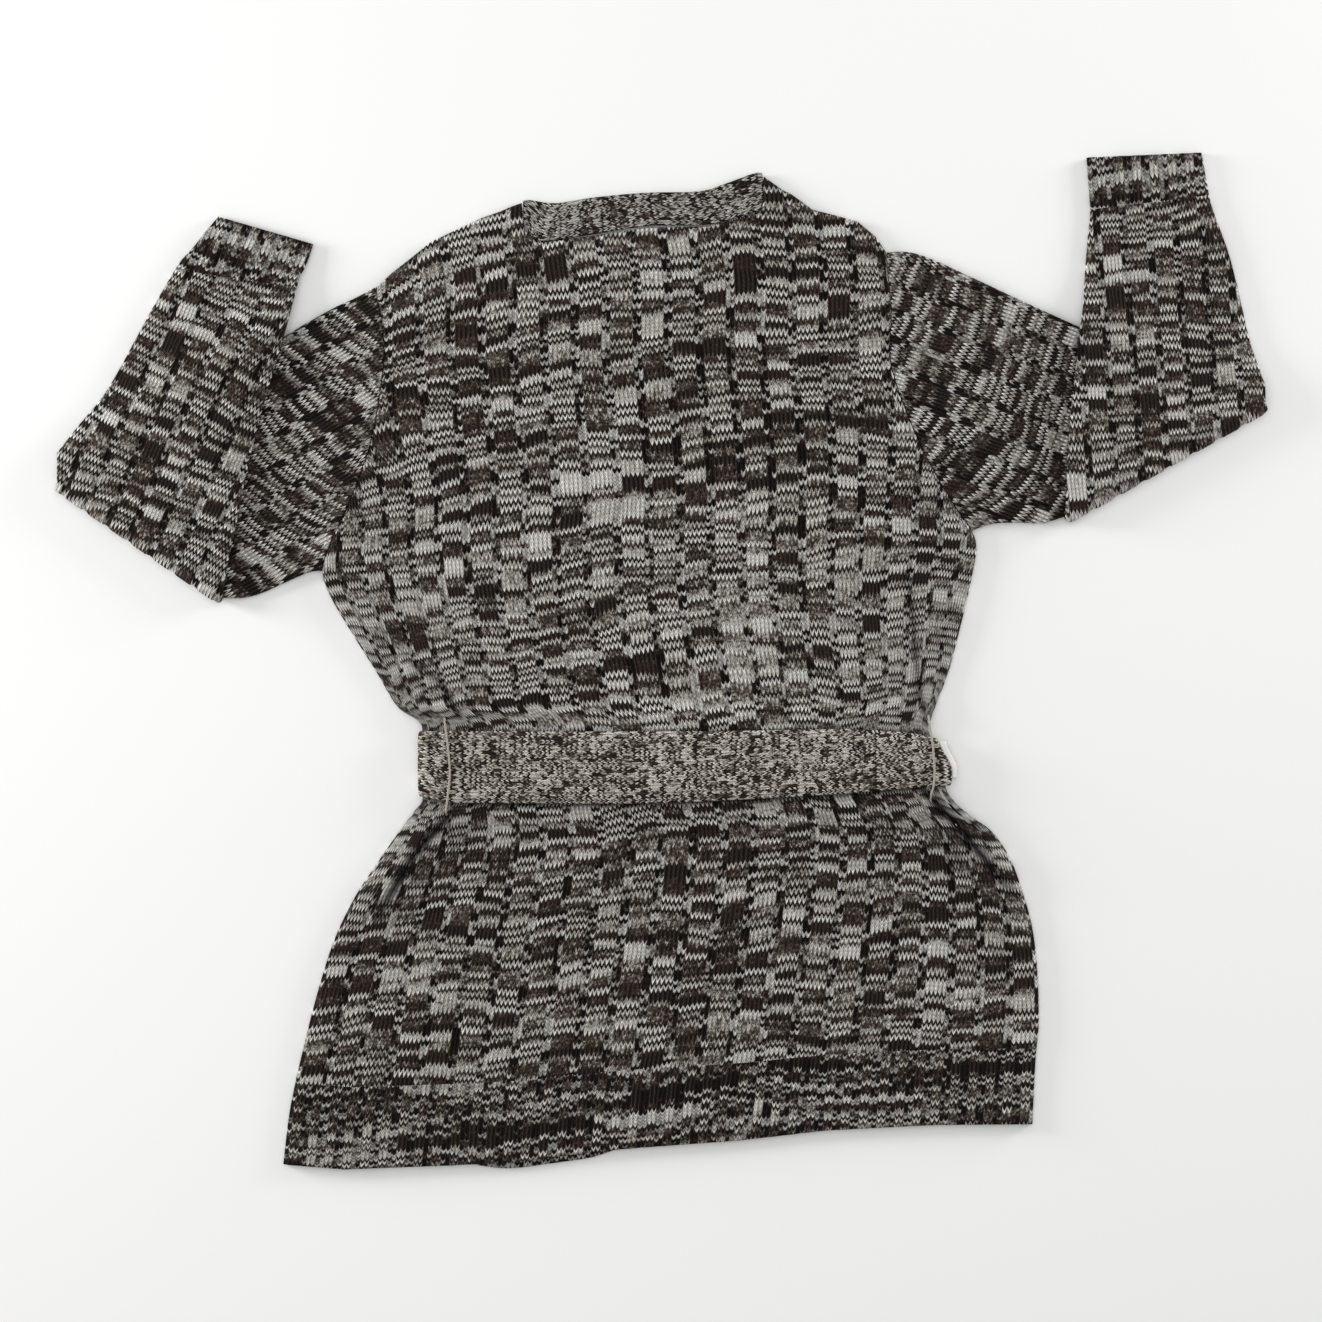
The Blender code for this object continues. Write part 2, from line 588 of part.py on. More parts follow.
def build_belt():
    wall = Wall()
    outer_rows, inner_rows = [], []
    for x, z, nx, nz in belt_path():
        low_y, high_y = along(BELT_EDGES, x, 1), along(BELT_EDGES, x, 2)
        outer, inner = [], []
        for share, swell in ((0.0, 0.6), (0.06, 1.0), (0.3, 1.0), (0.65, 1.0), (0.94, 1.0), (1.0, 0.6)):
            y = blend(low_y, high_y, share)
            thick = BELT_WALL * (swell if nz >= 0 else 1.0)
            slant = BELT_SLANT * smooth(0.3, 1.0, share) * smooth(150, BELT_RIGHT, x)
            outer.append((share, (x + nx * thick - slant, y, z + nz * thick)))
            inner.append((share, (x - slant, y, z)))
        outer_rows.append(outer)
        inner_rows.append(inner)
    wall.sheet(outer_rows, inner_rows)
    return make_piece("belt", wall.points, wall.faces, MARL_BELT)


def armhole_x(side, y):
    """x of the back's edge along the armhole, at a height y."""
    points = [(row[4], row[3]) if side > 0 else (row[2], row[1]) for row in BACK_ROWS[ARMHOLE_START:]]
    top = YOKE_CHORD[1 if side > 0 else 0]
    return along(points + [(top[1], top[0])], y, 1)


def armhole_curve(side, share):
    """How far the seam lies from a straight line between the ends of the sleeve's first ring."""
    high_x, high_y, low_x, low_y, _curve = (RIGHT_UPPER if side > 0 else LEFT_UPPER)[0]
    y = blend(high_y, low_y, share)
    return armhole_x(side, y) + side * SEAM_GAP - blend(high_x, low_x, share)


def tube_places(ribs, plain):
    """Places from -1 to 1 across one face of a flattened tube, with the rib height at each."""
    if ribs:
        return rib_places(ribs, 1.0)
    return [(2.0 * k / plain - 1.0, 0.0) for k in range(plain + 1)]


def sleeve_ring(ring, side, out, outer):
    """One ring of a sleeve, on its outer or its inner face, as (place, point)."""
    ax, ay, bx, by, curve = ring["section"]
    across = math.hypot(bx - ax, by - ay)
    ux, uy = (bx - ax) / across, (by - ay) / across
    angle = math.radians(ring["turn"])
    half = SLEEVE_HEIGHT / 2 if outer else SLEEVE_HOLLOW / 2
    inset = SLEEVE_HEIGHT * 0.45 if outer else SLEEVE_WALL + 1.5
    edge = 0.0 if outer else SLEEVE_WALL
    halves = []
    for sign, ribs, relief in ((1, ring["ribs_over"], ring["relief"]),
                               (-1, ring["ribs_under"], ring["relief"])):
        places = tube_places(ribs if outer else 0, SLEEVE_PLAIN)
        points = []
        for t, rib in places[::sign]:
            share = (t + 1) / 2
            run = inset + (across - 2 * inset) * share
            thick = sign * (half + rib * relief * SLEEVE_RIB * smooth(0.0, 0.1, 1 - abs(t)))
            x = ax + ux * run + curve * armhole_curve(side, run / across)
            y = ay + uy * run
            z = ring["height"] + ring["lift"](x, y) + thick * math.cos(angle)
            points.append((x - out[0] * thick * math.sin(angle), y - out[1] * thick * math.sin(angle), z))
        run = across - edge if sign > 0 else edge
        x, y = ax + ux * run, ay + uy * run
        points.append((x, y, ring["height"] + ring["lift"](x, y)))
        start = 0.0 if sign > 0 else 0.5
        halves.extend((start + 0.5 * k / len(points), point) for k, point in enumerate(points))
    return halves


def edge_side(line_a, line_b, x, y):
    """Signed distance from a line, positive on its left."""
    run = math.hypot(line_b[0] - line_a[0], line_b[1] - line_a[1])
    ux, uy = (line_b[0] - line_a[0]) / run, (line_b[1] - line_a[1]) / run
    return (y - line_a[1]) * ux - (x - line_a[0]) * uy


def build_sleeve(name, upper, fold, forearm, side):
    """Upper arm on the table, a turn at the elbow, and the forearm lying back over it."""
    rise = SLEEVE_HEIGHT + SLEEVE_RIB + 2 * FOLD_CLEAR
    radius = rise / 2
    low_z = SLEEVE_HEIGHT / 2
    start, end = upper[3][:2], fold[:2]
    ax, ay, bx, by = fold
    across = math.hypot(bx - ax, by - ay)
    out = (side * abs(by - ay) / across, -abs(bx - ax) / across)

    def lift_forearm(x, y):
        return rise * smooth(58.0, 4.0, side * edge_side(start, end, x, y))

    def flat(_x, _y):
        return 0.0

    def ring(section, height, turn, over, under, lift, relief):
        return {"section": section, "height": height, "turn": turn, "ribs_over": over,
                "ribs_under": under, "lift": lift, "relief": relief}

    rings = [ring(upper[0], low_z, 0, UPPER_RIBS, UPPER_RIBS, flat, 0.0)]
    rings += [ring(section, low_z, 0, UPPER_RIBS, 0, flat, 1.0) for section in upper[1:]]
    for turn in (0, 45, 90, 135, 180):
        push = radius * math.sin(math.radians(turn)) - radius - SLEEVE_HEIGHT / 2
        dx, dy = out[0] * push, out[1] * push
        height = low_z + radius * (1 - math.cos(math.radians(turn)))
        rings.append(ring((ax + dx, ay + dy, bx + dx, by + dy, 0), height, turn, 0, FOREARM_RIBS, flat,
                          0.0 if turn < 100 else 0.7))
    for k, section in enumerate(forearm):
        relief = 1.0 if k < len(forearm) - CUFF_ROWS else 0.8
        rings.append(ring(section, low_z, 180, 0, FOREARM_RIBS, lift_forearm, relief))
    wall = Wall()
    wall.tube([sleeve_ring(one, side, out, True) for one in rings],
              [sleeve_ring(one, side, out, False) for one in rings])
    return make_piece(name, wall.points, wall.faces, MARL_DARK)


def build_loop(name, route):
    """A thin thread loop that passes over the belt."""
    belt_top = BACK_INSIDE + BELT_LIFT + CREST_WALL + 0.7 + BELT_WALL + belt_swell(route[2][0])
    points, faces = [], []
    sides = 6
    for k, (x, y) in enumerate(route):
        over_belt = 0.0 if k in (0, len(route) - 1) else 1.0
        rest = outer_height(x, y, CREST_WALL - GROOVE_WALL) + LOOP_RADIUS + GAP
        z = blend(rest, belt_top + LOOP_RADIUS + GAP, over_belt)
        for s in range(sides):
            angle = 2 * math.pi * s / sides
            points.append((x + LOOP_RADIUS * math.cos(angle), y, z + LOOP_RADIUS * math.sin(angle)))
    for k in range(len(route) - 1):
        for s in range(sides):
            a, b = k * sides + s, k * sides + (s + 1) % sides
            faces.append((a, b, b + sides, a + sides))
    faces.append(tuple(range(sides)))
    faces.append(tuple(range(len(points) - sides, len(points))))
    return make_piece(name, points, faces, THREAD_PALE, 0.7)


def build_label():
    """A blank strip of satin at the right side seam, just outside the belt's end."""
    x0, x1 = LABEL["x"], LABEL["x"] + LABEL["width"]
    low, high, wall = LABEL["low_y"], LABEL["high_y"], LABEL["wall"]
    points, faces = [], []
    rows = 5
    for k in range(rows):
        share = k / (rows - 1)
        y = blend(high, low, share)
        out = x0 + (x1 - x0) * (0.35 + 0.65 * share)
        z = LABEL["z"] - 1.5 * share
        points.extend([(x0, y, z), (out, y, z - 1.0), (out, y, z - 1.0 + wall), (x0, y, z + wall)])
    for k in range(rows - 1):
        for s in range(4):
            a, b = k * 4 + s, k * 4 + (s + 1) % 4
            faces.append((a, b, b + 4, a + 4))
    faces.append((0, 1, 2, 3))
    faces.append(tuple(range(len(points) - 4, len(points))))
    return make_piece("side_label", points, faces, SATIN_WHITE, 0.4)


def main():
    clear_scene()
    build_back()
    build_front("front_left", -1)
    build_front("front_right", 1)
    build_neck_band()
    build_belt()
    build_sleeve("sleeve_left", LEFT_UPPER, LEFT_FOLD, LEFT_FOREARM, -1)
    build_sleeve("sleeve_right", RIGHT_UPPER, RIGHT_FOLD, RIGHT_FOREARM, 1)
    build_loop("belt_loop_left", LOOP_LEFT)
    build_loop("belt_loop_right", LOOP_RIGHT)
    build_label()


main()
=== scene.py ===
"""The looks of a belted rib-knit cardigan that lies on its front, seen from straight above.

Plan sizes are in millimetres in the garment's own frame: x to the right, y towards the neck, z up.
"""
import math

import bpy
import numpy as np
from bpy.props import FloatProperty, PointerProperty, StringProperty
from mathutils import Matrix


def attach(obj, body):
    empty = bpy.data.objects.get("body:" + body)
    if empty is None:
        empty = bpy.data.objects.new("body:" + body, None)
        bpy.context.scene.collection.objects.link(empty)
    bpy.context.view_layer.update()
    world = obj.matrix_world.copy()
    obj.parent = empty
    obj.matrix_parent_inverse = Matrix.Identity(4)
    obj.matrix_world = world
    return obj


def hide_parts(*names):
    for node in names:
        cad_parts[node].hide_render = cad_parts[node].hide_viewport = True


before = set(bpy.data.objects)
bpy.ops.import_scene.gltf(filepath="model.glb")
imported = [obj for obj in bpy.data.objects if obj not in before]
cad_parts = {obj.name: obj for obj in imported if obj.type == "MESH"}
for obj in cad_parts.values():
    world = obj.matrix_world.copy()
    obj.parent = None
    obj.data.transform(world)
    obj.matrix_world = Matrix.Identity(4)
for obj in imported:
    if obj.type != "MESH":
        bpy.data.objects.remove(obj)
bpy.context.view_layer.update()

bl_info = {
    "name": "Belted rib-knit cardigan",
    "version": (1, 0, 0),
    "blender": (4, 5, 0),
    "location": "3D View > Sidebar > Cardigan",
    "description": "Builds a marled wide-rib cardigan laid flat on its front",
    "category": "Object",
}

MM = 0.001

# Layers of the cloth
BACK_INSIDE = 3.0
GROOVE_WALL = 1.8
CREST_WALL = 3.2
FRONT_WALL = 2.6
EDGE_ROUND = 6.0
LIP_WALL = 2.4
GAP = 0.3
SEAM_GAP = 0.5

# Belt
BELT_WALL = 3.2
BELT_LEFT = -194.0
BELT_RIGHT = 232.0
BELT_LIFT = 3.5
BELT_LOW_Y = -118.0
BELT_HIGH_Y = -50.0
BELT_RAMP = 24.0
BELT_CORNER = 6.0
BELT_SLANT = 11.0

# Knit: 5 knit and 2 purl stitches to a rib
STITCHES_IN_RIB = 7
RIB_PITCH = 24.8
BODY_RIBS = 24
STITCH = RIB_PITCH / STITCHES_IN_RIB
COURSE = 3.25
WELT_STITCHES = 4

# Sleeves
SLEEVE_WALL = 2.0
SLEEVE_RIB = 1.1
SLEEVE_HOLLOW = 0.8
SLEEVE_HEIGHT = 2 * SLEEVE_WALL + SLEEVE_HOLLOW
SLEEVE_RIB_PITCH = 20.8
SLEEVE_CLEAR = 0.5
CUFF_LENGTH = 40.0

# Back: y on the left and right, x on the left and right, share of the hem's curve, share of the
# neck's curve, depth of the turned edge, height of the ribs
BACK_ROWS = (
    (-402, -370, -302, 297, 1.0, 0.0, 1.0, 0.75),
    (-364, -337, -297.5, 298.5, 0.9, 0.0, 1.0, 0.8),
    (-340, -312, -293, 300, 0.8, 0.0, 1.0, 0.75),
    (-318, -290, -288, 302, 0.7, 0.0, 1.0, 1.0),
    (-270, -250, -276, 301, 0.5, 0.0, 1.0, 1.0),
    (-225, -214, -262, 297, 0.3, 0.0, 1.0, 1.0),
    (-191, -186, -246, 289.5, 0.2, 0.0, 1.0, 1.0),
    (-166, -158, -230, 279, 0.1, 0.0, 1.0, 1.0),
    (-140, -136, -212, 264, 0.0, 0.0, 1.0, 1.0),
    (-120, -118, -197, 240, 0.0, 0.0, 1.0, 0.5),
    (-110, -103, -190.5, 228, 0.0, 0.0, 1.0, 0.35),
    (-83, -83, -190.5, 224, 0.0, 0.0, 1.0, 0.35),
    (-55, -58, -190.5, 214.5, 0.0, 0.0, 1.0, 0.35),
    (-47, -48, -195, 215, 0.0, 0.0, 1.0, 0.6),
    (-36, -32, -211, 221, 0.0, 0.0, 1.0, 1.0),
    (-8, -8, -228, 230, 0.0, 0.04, 1.0, 1.0),
    (22, 24, -247, 238.5, 0.0, 0.07, 1.0, 1.0),
    (51, 60, -264, 247, 0.0, 0.10, 1.0, 1.0),
    (70, 92, -270.5, 252, 0.0, 0.14, 1.0, 1.0),
    (92, 110, -265, 244.5, 0.0, 0.17, 0.1, 1.0),
    (122, 126, -251, 233, 0.0, 0.2, 0.1, 1.0),
    (174, 175, -232, 206, 0.0, 0.3, 0.1, 1.0),
    (232, 235, -222, 184, 0.0, 0.45, 0.1, 1.0),
    (266, 280, -222, 184, 0.0, 0.68, 0.1, 1.0),
    (284, 308, -225, 181, 0.0, 0.86, 0.1, 0.9),
)
UNDERARM_ROW = 18
NECK_CORNERS = (-109.9, -109.3, 80.9, 82.2)
NECK_LINE = (
    (-228, 298, 0.1), (-215, 310, 0.1), (-200, 322, 1.0), (-184, 335, 1.0), (-144, 354, 1.0),
    (-128, 359.5, 1.0), (-121, 362.5, 0.1), (-109.9, 366.4, 0.1), (-109.3, 345, 0.1), (-99, 334, 0.1),
    (-57, 339.2, 0.1), (-11, 346.2, 0.1), (34, 347.2, 0.1), (60, 352.2, 0.1), (78, 357.5, 0.1),
    (80.9, 359.5, 0.1), (82.2, 387, 0.1), (91, 380.5, 0.1), (98, 376, 1.0), (103, 374, 1.0),
    (121, 361, 1.0), (157, 351.5, 1.0), (172, 338.5, 0.1), (180, 326, 0.1),
)
YOKE_RISE = 40.0
HEM_LINE = (
    (-302, -402), (-254, -406), (-171, -403), (-113, -400), (-55, -392), (-15, -388.5),
    (62, -383), (131, -375), (220, -370.5), (297, -370),
)
HEM_BAND_TOP = 62.0

# Creases of the back, as a narrow valley between two soft ridges: start x, y, middle x, y, end x, y,
# ridge on the outer side and its half width, ridge on the inner side and its half width. The outer
# side is on the right of the way from start to end where the last value is 1, else on the left.
BACK_CREASES = (
    (-160, -113, -197, -154, -228, -206, 5.6, 9, 3.0, 9, 1),
    (200, -94, 234, -128, 280, -184, 5.6, 9, 3.2, 9, -1),
    (212, -124, 230, -146, 246, -170, 2.0, 6, 1.2, 7, -1),
    (-205, 3, -176, -16, -158, -50, 3.4, 8, 2.4, 10, 1),
    (198, 78, 205, -16, 211, -48, 2.6, 8, 2.0, 10, -1),
)

# Slow rises of the back: start x, y, end x, y, height, half width
BACK_FOLDS = (
    (-60, -150, -86, -260, 0.9, 22), (120, -140, 138, -250, 1.0, 20), (30, -135, 26, -210, 0.8, 18),
    (-150, 60, -40, 30, 0.9, 16), (60, 20, 170, 60, 0.9, 18), (-170, 300, -90, 250, 1.0, 16),
    (150, 316, 70, 280, 1.0, 16), (-236, 110, -222, 30, 1.4, 14), (190, 180, 206, 104, 1.4, 12),
    (-120, -20, -100, -50, 1.2, 8), (-60, -16, -52, -50, 0.8, 7), (70, -12, 62, -50, 0.9, 8),
    (140, -14, 150, -50, 1.2, 9), (-110, -118, -120, -150, 1.1, 8), (60, -118, 64, -150, 1.0, 8),
)

# Neck band: seam edge x, y, free edge x, y, height, tilt
BAND_TOP = 4.6
BAND_LOW = 1.2
BAND_WALL = 2.2
NECK_BAND = (
    (-34.2, -389.5, -4.4, -387, BAND_LOW, 180), (-34.2, -270, -4.4, -270, BAND_LOW, 180),
    (-34.2, -142, -4.4, -142, BAND_LOW, 180), (-34.2, -118, -4.4, -118, BAND_LOW, 180),
    (-34.2, -83, -4.4, -83, BAND_LOW, 180), (-34.2, -50, -4.4, -50, BAND_LOW, 180),
    (-34.2, -26, -4.4, -26, BAND_LOW, 180), (-34.2, 40, -4.4, 40, BAND_LOW, 180),
    (-34.2, 112, -4.4, 116, BAND_LOW, 180), (-52, 180, -25, 192, BAND_LOW, 180),
    (-74, 252, -46, 262, BAND_LOW, 180), (-93, 306, -65, 318, BAND_LOW, 180),
    (-104, 331, -80, 350, BAND_LOW, 180), (-107, 347, -95, 366, BAND_LOW, 180),
    (-108.4, 348, -108.4, 367.5, 1.7, 135), (-108.8, 348.5, -108.8, 368.0, 2.9, 90),
    (-108.4, 348, -108.4, 367.5, 4.1, 45), (-106, 345, -104.5, 368, BAND_TOP, 0),
    (-96.5, 335.8, -84, 365.5, BAND_TOP, 0), (-57, 340.3, -58, 369.6, BAND_TOP, 0),
    (-11, 347.3, -14, 373.8, BAND_TOP, 0), (34, 348.3, 30, 375, BAND_TOP, 0),
    (59, 353.6, 51, 381, BAND_TOP, 0), (76, 359.2, 74, 389.4, BAND_TOP, 0),
    (79.6, 360.8, 79.4, 389.6, 4.1, -45), (80.0, 361.2, 79.9, 389.8, 2.9, -90),
    (79.6, 361.5, 79.4, 389, 1.7, -135), (78, 360, 68, 385, BAND_LOW, -180),
    (74, 341, 46, 356, BAND_LOW, -180), (61, 302, 33, 312, BAND_LOW, -180),
    (45, 240, 17, 249, BAND_LOW, -180), (32, 180, 4, 188, BAND_LOW, -180),
    (26.2, 112, -3.6, 116, BAND_LOW, -180), (26.2, 40, -3.6, 40, BAND_LOW, -180),
    (26.2, -26, -3.6, -26, BAND_LOW, -180), (26.2, -50, -3.6, -50, BAND_LOW, -180),
    (26.2, -83, -3.6, -83, BAND_LOW, -180), (26.2, -118, -3.6, -118, BAND_LOW, -180),
    (26.2, -142, -3.6, -142, BAND_LOW, -180), (26.2, -270, -3.6, -270, BAND_LOW, -180),
    (26.2, -383.5, -3.6, -386, BAND_LOW, -180),
)
FRONT_CENTRE = -4.0
FRONT_PEEK = 5.0

# Belt edges over the back: x, lower y, upper y
BELT_EDGES = (
    (-194, -107, -56), (-168, -113, -56), (-16, -114, -56), (32, -112, -56), (93, -109, -55),
    (149, -105.5, -54), (207, -100.5, -57), (232, -99, -62),
)

# Sleeves: over-arm edge x, y, under-arm edge x, y, share of the armhole's curve
SLEEVES = {
    "sleeve_left": {
        "side": -1, "row_turn": 18,
        "upper": (
            (-229.1, 298.5, -272, 72, 1.0), (-245, 290, -280, 71.5, 0.75),
            (-264, 281, -289, 68, 0.5), (-300, 260, -302, 62, 0.2), (-348, 228, -315, 56, 0),
            (-400, 194, -326, 52, 0), (-452, 160, -337, 50, 0),
        ),
        "fold": (-485, 137.5, -352.5, 45.5),
        "forearm": (
            (-482, 166, -347, 70, 0), (-462, 192, -338, 112, 0), (-447, 210, -330, 152, 0),
            (-433, 233, -320, 192, 0), (-420, 257, -310, 228, 0), (-403, 288, -298, 268, 0),
            (-385, 318, -289, 304, 0), (-376, 328, -285, 313, 0), (-365, 342, -281, 323, 0),
            (-354, 355, -278, 333, 0),
        ),
        "folds": (
            (-330, 120, -352, 60, 1.6, 9), (-440, 190, -400, 120, 1.2, 12),
            (-300, 200, -282, 130, 1.0, 12), (-372, 280, -330, 240, 0.9, 12),
        ),
    },
    "sleeve_right": {
        "side": 1, "row_turn": 0,
        "upper": (
            (181.1, 326.5, 253, 104, 1.0), (197, 327, 262, 108, 0.75), (217, 321, 270, 110, 0.5),
            (252, 305, 280, 110.5, 0.2), (312, 277, 290, 110.5, 0), (382, 246, 298, 110, 0),
            (452, 215, 306, 110, 0),
        ),
        "fold": (485, 200, 325, 110),
        "forearm": (
            (482, 220, 323, 132, 0), (476, 238, 324, 160, 0), (470, 258, 326, 190, 0),
            (465, 280, 329.5, 222, 0), (460, 302, 332.5, 252, 0), (453, 328, 336.5, 284, 0),
            (442, 358, 341, 338, 0), (438.5, 370, 343, 358, 0), (435, 390, 341.5, 382, 0),
            (432, 406, 340, 402, 0),
        ),
        "folds": (
            (300, 200, 276, 134, 1.2, 12), (330, 160, 352, 200, 1.2, 10),
            (420, 200, 452, 262, 1.0, 12), (246, 286, 300, 250, 1.0, 12),
        ),
    },
}

LOOPS = {
    "belt_loop_left": ((-172.5, -45), (-172, -50), (-169.5, -68), (-168, -88), (-169, -102),
                       (-171, -118), (-171, -123)),
    "belt_loop_right": ((213, -43), (213.5, -50), (216, -66), (217.5, -84), (217, -98),
                        (215, -106), (215, -112)),
}
LOOP_RADIUS = 0.8
LABEL = {"gap": 0.4, "high": 0.94, "low": 0.14, "width_high": 5.5, "width_low": 3.5, "wall": 0.6, "z": 6.8}

# Middle brown that the stitch gaps are mixed towards: painted shade on pale stitches, a lighter tone on dark ones
GAP_SHADE_AND_TINT = "#41372f"
CAMERA_HEIGHT = 2.6
FRAME_WIDTH = 1.0576


class CardiganKnit(bpy.types.PropertyGroup):
    """Yarn and stitch sizes of the knitted pieces."""

    stitch: FloatProperty(name="Stitch width", description="Width of one body stitch in millimetres",
                          default=STITCH, min=1.0, max=12.0)
    course: FloatProperty(name="Course height", description="Height of one row in millimetres",
                          default=COURSE, min=1.0, max=12.0)
    dark: StringProperty(name="Dark yarn", description="sRGB hex colour", default="#080504")
    brown: StringProperty(name="Brown yarn", description="sRGB hex colour", default="#271610")
    grey: StringProperty(name="Mid yarn", description="sRGB hex colour", default="#5f564f")
    light: StringProperty(name="Light yarn", description="sRGB hex colour", default="#bfbbb3")
    cream: StringProperty(name="Cream yarn", description="sRGB hex colour", default="#f0eee8")


class CardiganTrim(bpy.types.PropertyGroup):
    """Colours of the belt, its thread loops and the blank side label."""

    belt_dark: StringProperty(name="Belt brown", description="sRGB hex colour", default="#17100d")
    belt_light: StringProperty(name="Belt beige", description="sRGB hex colour", default="#c9c2b7")
    thread: StringProperty(name="Loop thread", description="sRGB hex colour", default="#a79f93")
    satin: StringProperty(name="Label satin", description="sRGB hex colour", default="#ecebe9")


class CardiganStage(bpy.types.PropertyGroup):
    """Floor and light."""

    floor: StringProperty(name="Floor", description="sRGB hex colour", default="#fbfbfa")
    key_power: FloatProperty(name="Soft light", description="Power of the large light in watts",
                             default=19.0, min=0.0, subtype="POWER")
    side_power: FloatProperty(name="Low light", description="Power of the low light from the left in watts",
                              default=72.0, min=0.0, subtype="POWER")
    room_light: FloatProperty(name="Room light", description="Strength of the even light from all round",
                              default=0.45, min=0.0)


def linear(hex_colour):
    """sRGB hex to linear red, green, blue and alpha."""
    parts = [int(hex_colour[i:i + 2], 16) / 255 for i in (1, 3, 5)]
    return [c / 12.92 if c <= 0.04045 else ((c + 0.055) / 1.055) ** 2.4 for c in parts] + [1.0]


def smooth(edge_a, edge_b, value):
    """Soft step from 0 at edge_a to 1 at edge_b, on numbers or arrays."""
    share = np.clip((value - edge_a) / (edge_b - edge_a), 0.0, 1.0)
    return share * share * (3.0 - 2.0 * share)


def blend(a, b, share):
    return a + (b - a) * share


def along(table, x, column):
    """A table's column at x, its first column, on straight pieces."""
    rows = np.array([[row[0], row[column]] for row in table], float)
    return np.interp(x, rows[:, 0], rows[:, 1])


def curve(rows, place):
    """Rows of a table at fractional row numbers, on a soft curve through them."""
    rows = np.asarray(rows, float)
    last = len(rows) - 1
    low = np.clip(np.floor(place).astype(int), 0, last - 1)
    share = (place - low)[:, None]
    picks = [rows[np.clip(low + step, 0, last)] for step in (-1, 0, 1, 2)]
    before, start, end, after = picks
    bend_a, bend_b = (end - before) / 2, (after - start) / 2
    s2, s3 = share ** 2, share ** 3
    return (start * (2 * s3 - 3 * s2 + 1) + bend_a * (s3 - 2 * s2 + share)
            + end * (3 * s2 - 2 * s3) + bend_b * (s3 - s2))


def belt_lift(y):
    """How far the cloth is lifted where it lies over the belt's hidden part."""
    return BELT_LIFT * np.minimum(smooth(BELT_LOW_Y - BELT_RAMP, BELT_LOW_Y, y),
                                  smooth(BELT_HIGH_Y + BELT_RAMP, BELT_HIGH_Y, y))


def fold_height(folds, x, y):
    """Height of soft folds: a rounded ridge along each way, the same on both sides, fading out at its ends."""
    height = np.zeros_like(x)
    for x0, y0, x1, y1, top, half in folds:
        run = math.hypot(x1 - x0, y1 - y0)
        ux, uy = (x1 - x0) / run, (y1 - y0) / run
        ahead = (x - x0) * ux + (y - y0) * uy
        across = (x - x0) * uy - (y - y0) * ux
        ends = smooth(-0.2 * run, 0.25 * run, ahead) * smooth(1.25 * run, 0.7 * run, ahead)
        height = np.maximum(height, top * ends * np.exp(-(across / half) ** 2))
    return height


def crease_height(x, y):
    """Height that the creases add, a ridge on each side of a narrow valley, and the share of painted shade along the
    valley.
    """
    height = np.zeros_like(x)
    depth = np.zeros_like(x)
    for x0, y0, x1, y1, x2, y2, outer, outer_half, inner, inner_half, turn in BACK_CREASES:
        spans = ((x0, y0, x1, y1), (x1, y1, x2, y2))
        nearest = np.full(x.shape, 1e6)
        signed = np.zeros(x.shape)
        place = np.zeros(x.shape)
        for number, (ax, ay, bx, by) in enumerate(spans):
            run = math.hypot(bx - ax, by - ay)
            ux, uy = (bx - ax) / run, (by - ay) / run
            ahead = np.clip(((x - ax) * ux + (y - ay) * uy) / run, -0.3 + 0.3 * number, 1.0 + 0.3 * number)
            away = np.hypot(x - ax - ahead * run * ux, y - ay - ahead * run * uy)
            side = turn * ((x - ax) * uy - (y - ay) * ux)
            closer = away < nearest
            signed = np.where(closer, np.sign(side) * away, signed)
            place = np.where(closer, (number + ahead) / 2, place)
            nearest = np.minimum(nearest, away)
        ends = smooth(-0.1, 0.2, place) * smooth(1.12, 0.75, place)
        half = np.where(signed > 0, outer_half, inner_half)
        rise = np.where(signed > 0, outer, inner) * smooth(0.5, 4.0, nearest) * smooth(2.4, 0.5, nearest / half)
        height = np.maximum(height, rise * ends)
        # Painted shade along the valley, for the knit's colour
        depth = np.maximum(depth, np.exp(-(nearest / 3.6) ** 2) * ends * np.minimum(1.0, outer / 4.8))
    return height, depth


def fold_shade(x, y):
    """Share of light that the narrow creases, and the belt's edges, keep off the back: painted shade that darkens the
    back's colour.
    """
    shade = crease_height(x, y)[1]
    low, high = along(BELT_EDGES, x, 1), along(BELT_EDGES, x, 2)
    # Painted shade under the belt's lower edge, and weaker along its upper edge
    under = smooth(6.0, 0.0, low - y) * (y < low + 2)
    over = 0.5 * smooth(4.0, 0.0, y - high) * (y > high - 2)
    return np.maximum(shade, np.maximum(0.75 * under, over))


def waves(x, y, height):
    """Slow unevenness of cloth that was laid down by hand."""
    return height * (np.sin(x / 47 + y / 83) * np.sin(y / 61 - x / 139 + 1.3)
                     + 0.5 * np.sin(x / 23 - y / 37 + 0.6)) / 1.5


def rib_height(wale, pitch, stitches, purl):
    """Share of the rib's height over its groove, for a place across the ribs in millimetres."""
    share = (wale / pitch) % 1.0
    distance = np.minimum(share, 1.0 - share) * stitches
    return smooth(purl * 0.25, purl * 0.5 + 0.45, distance)


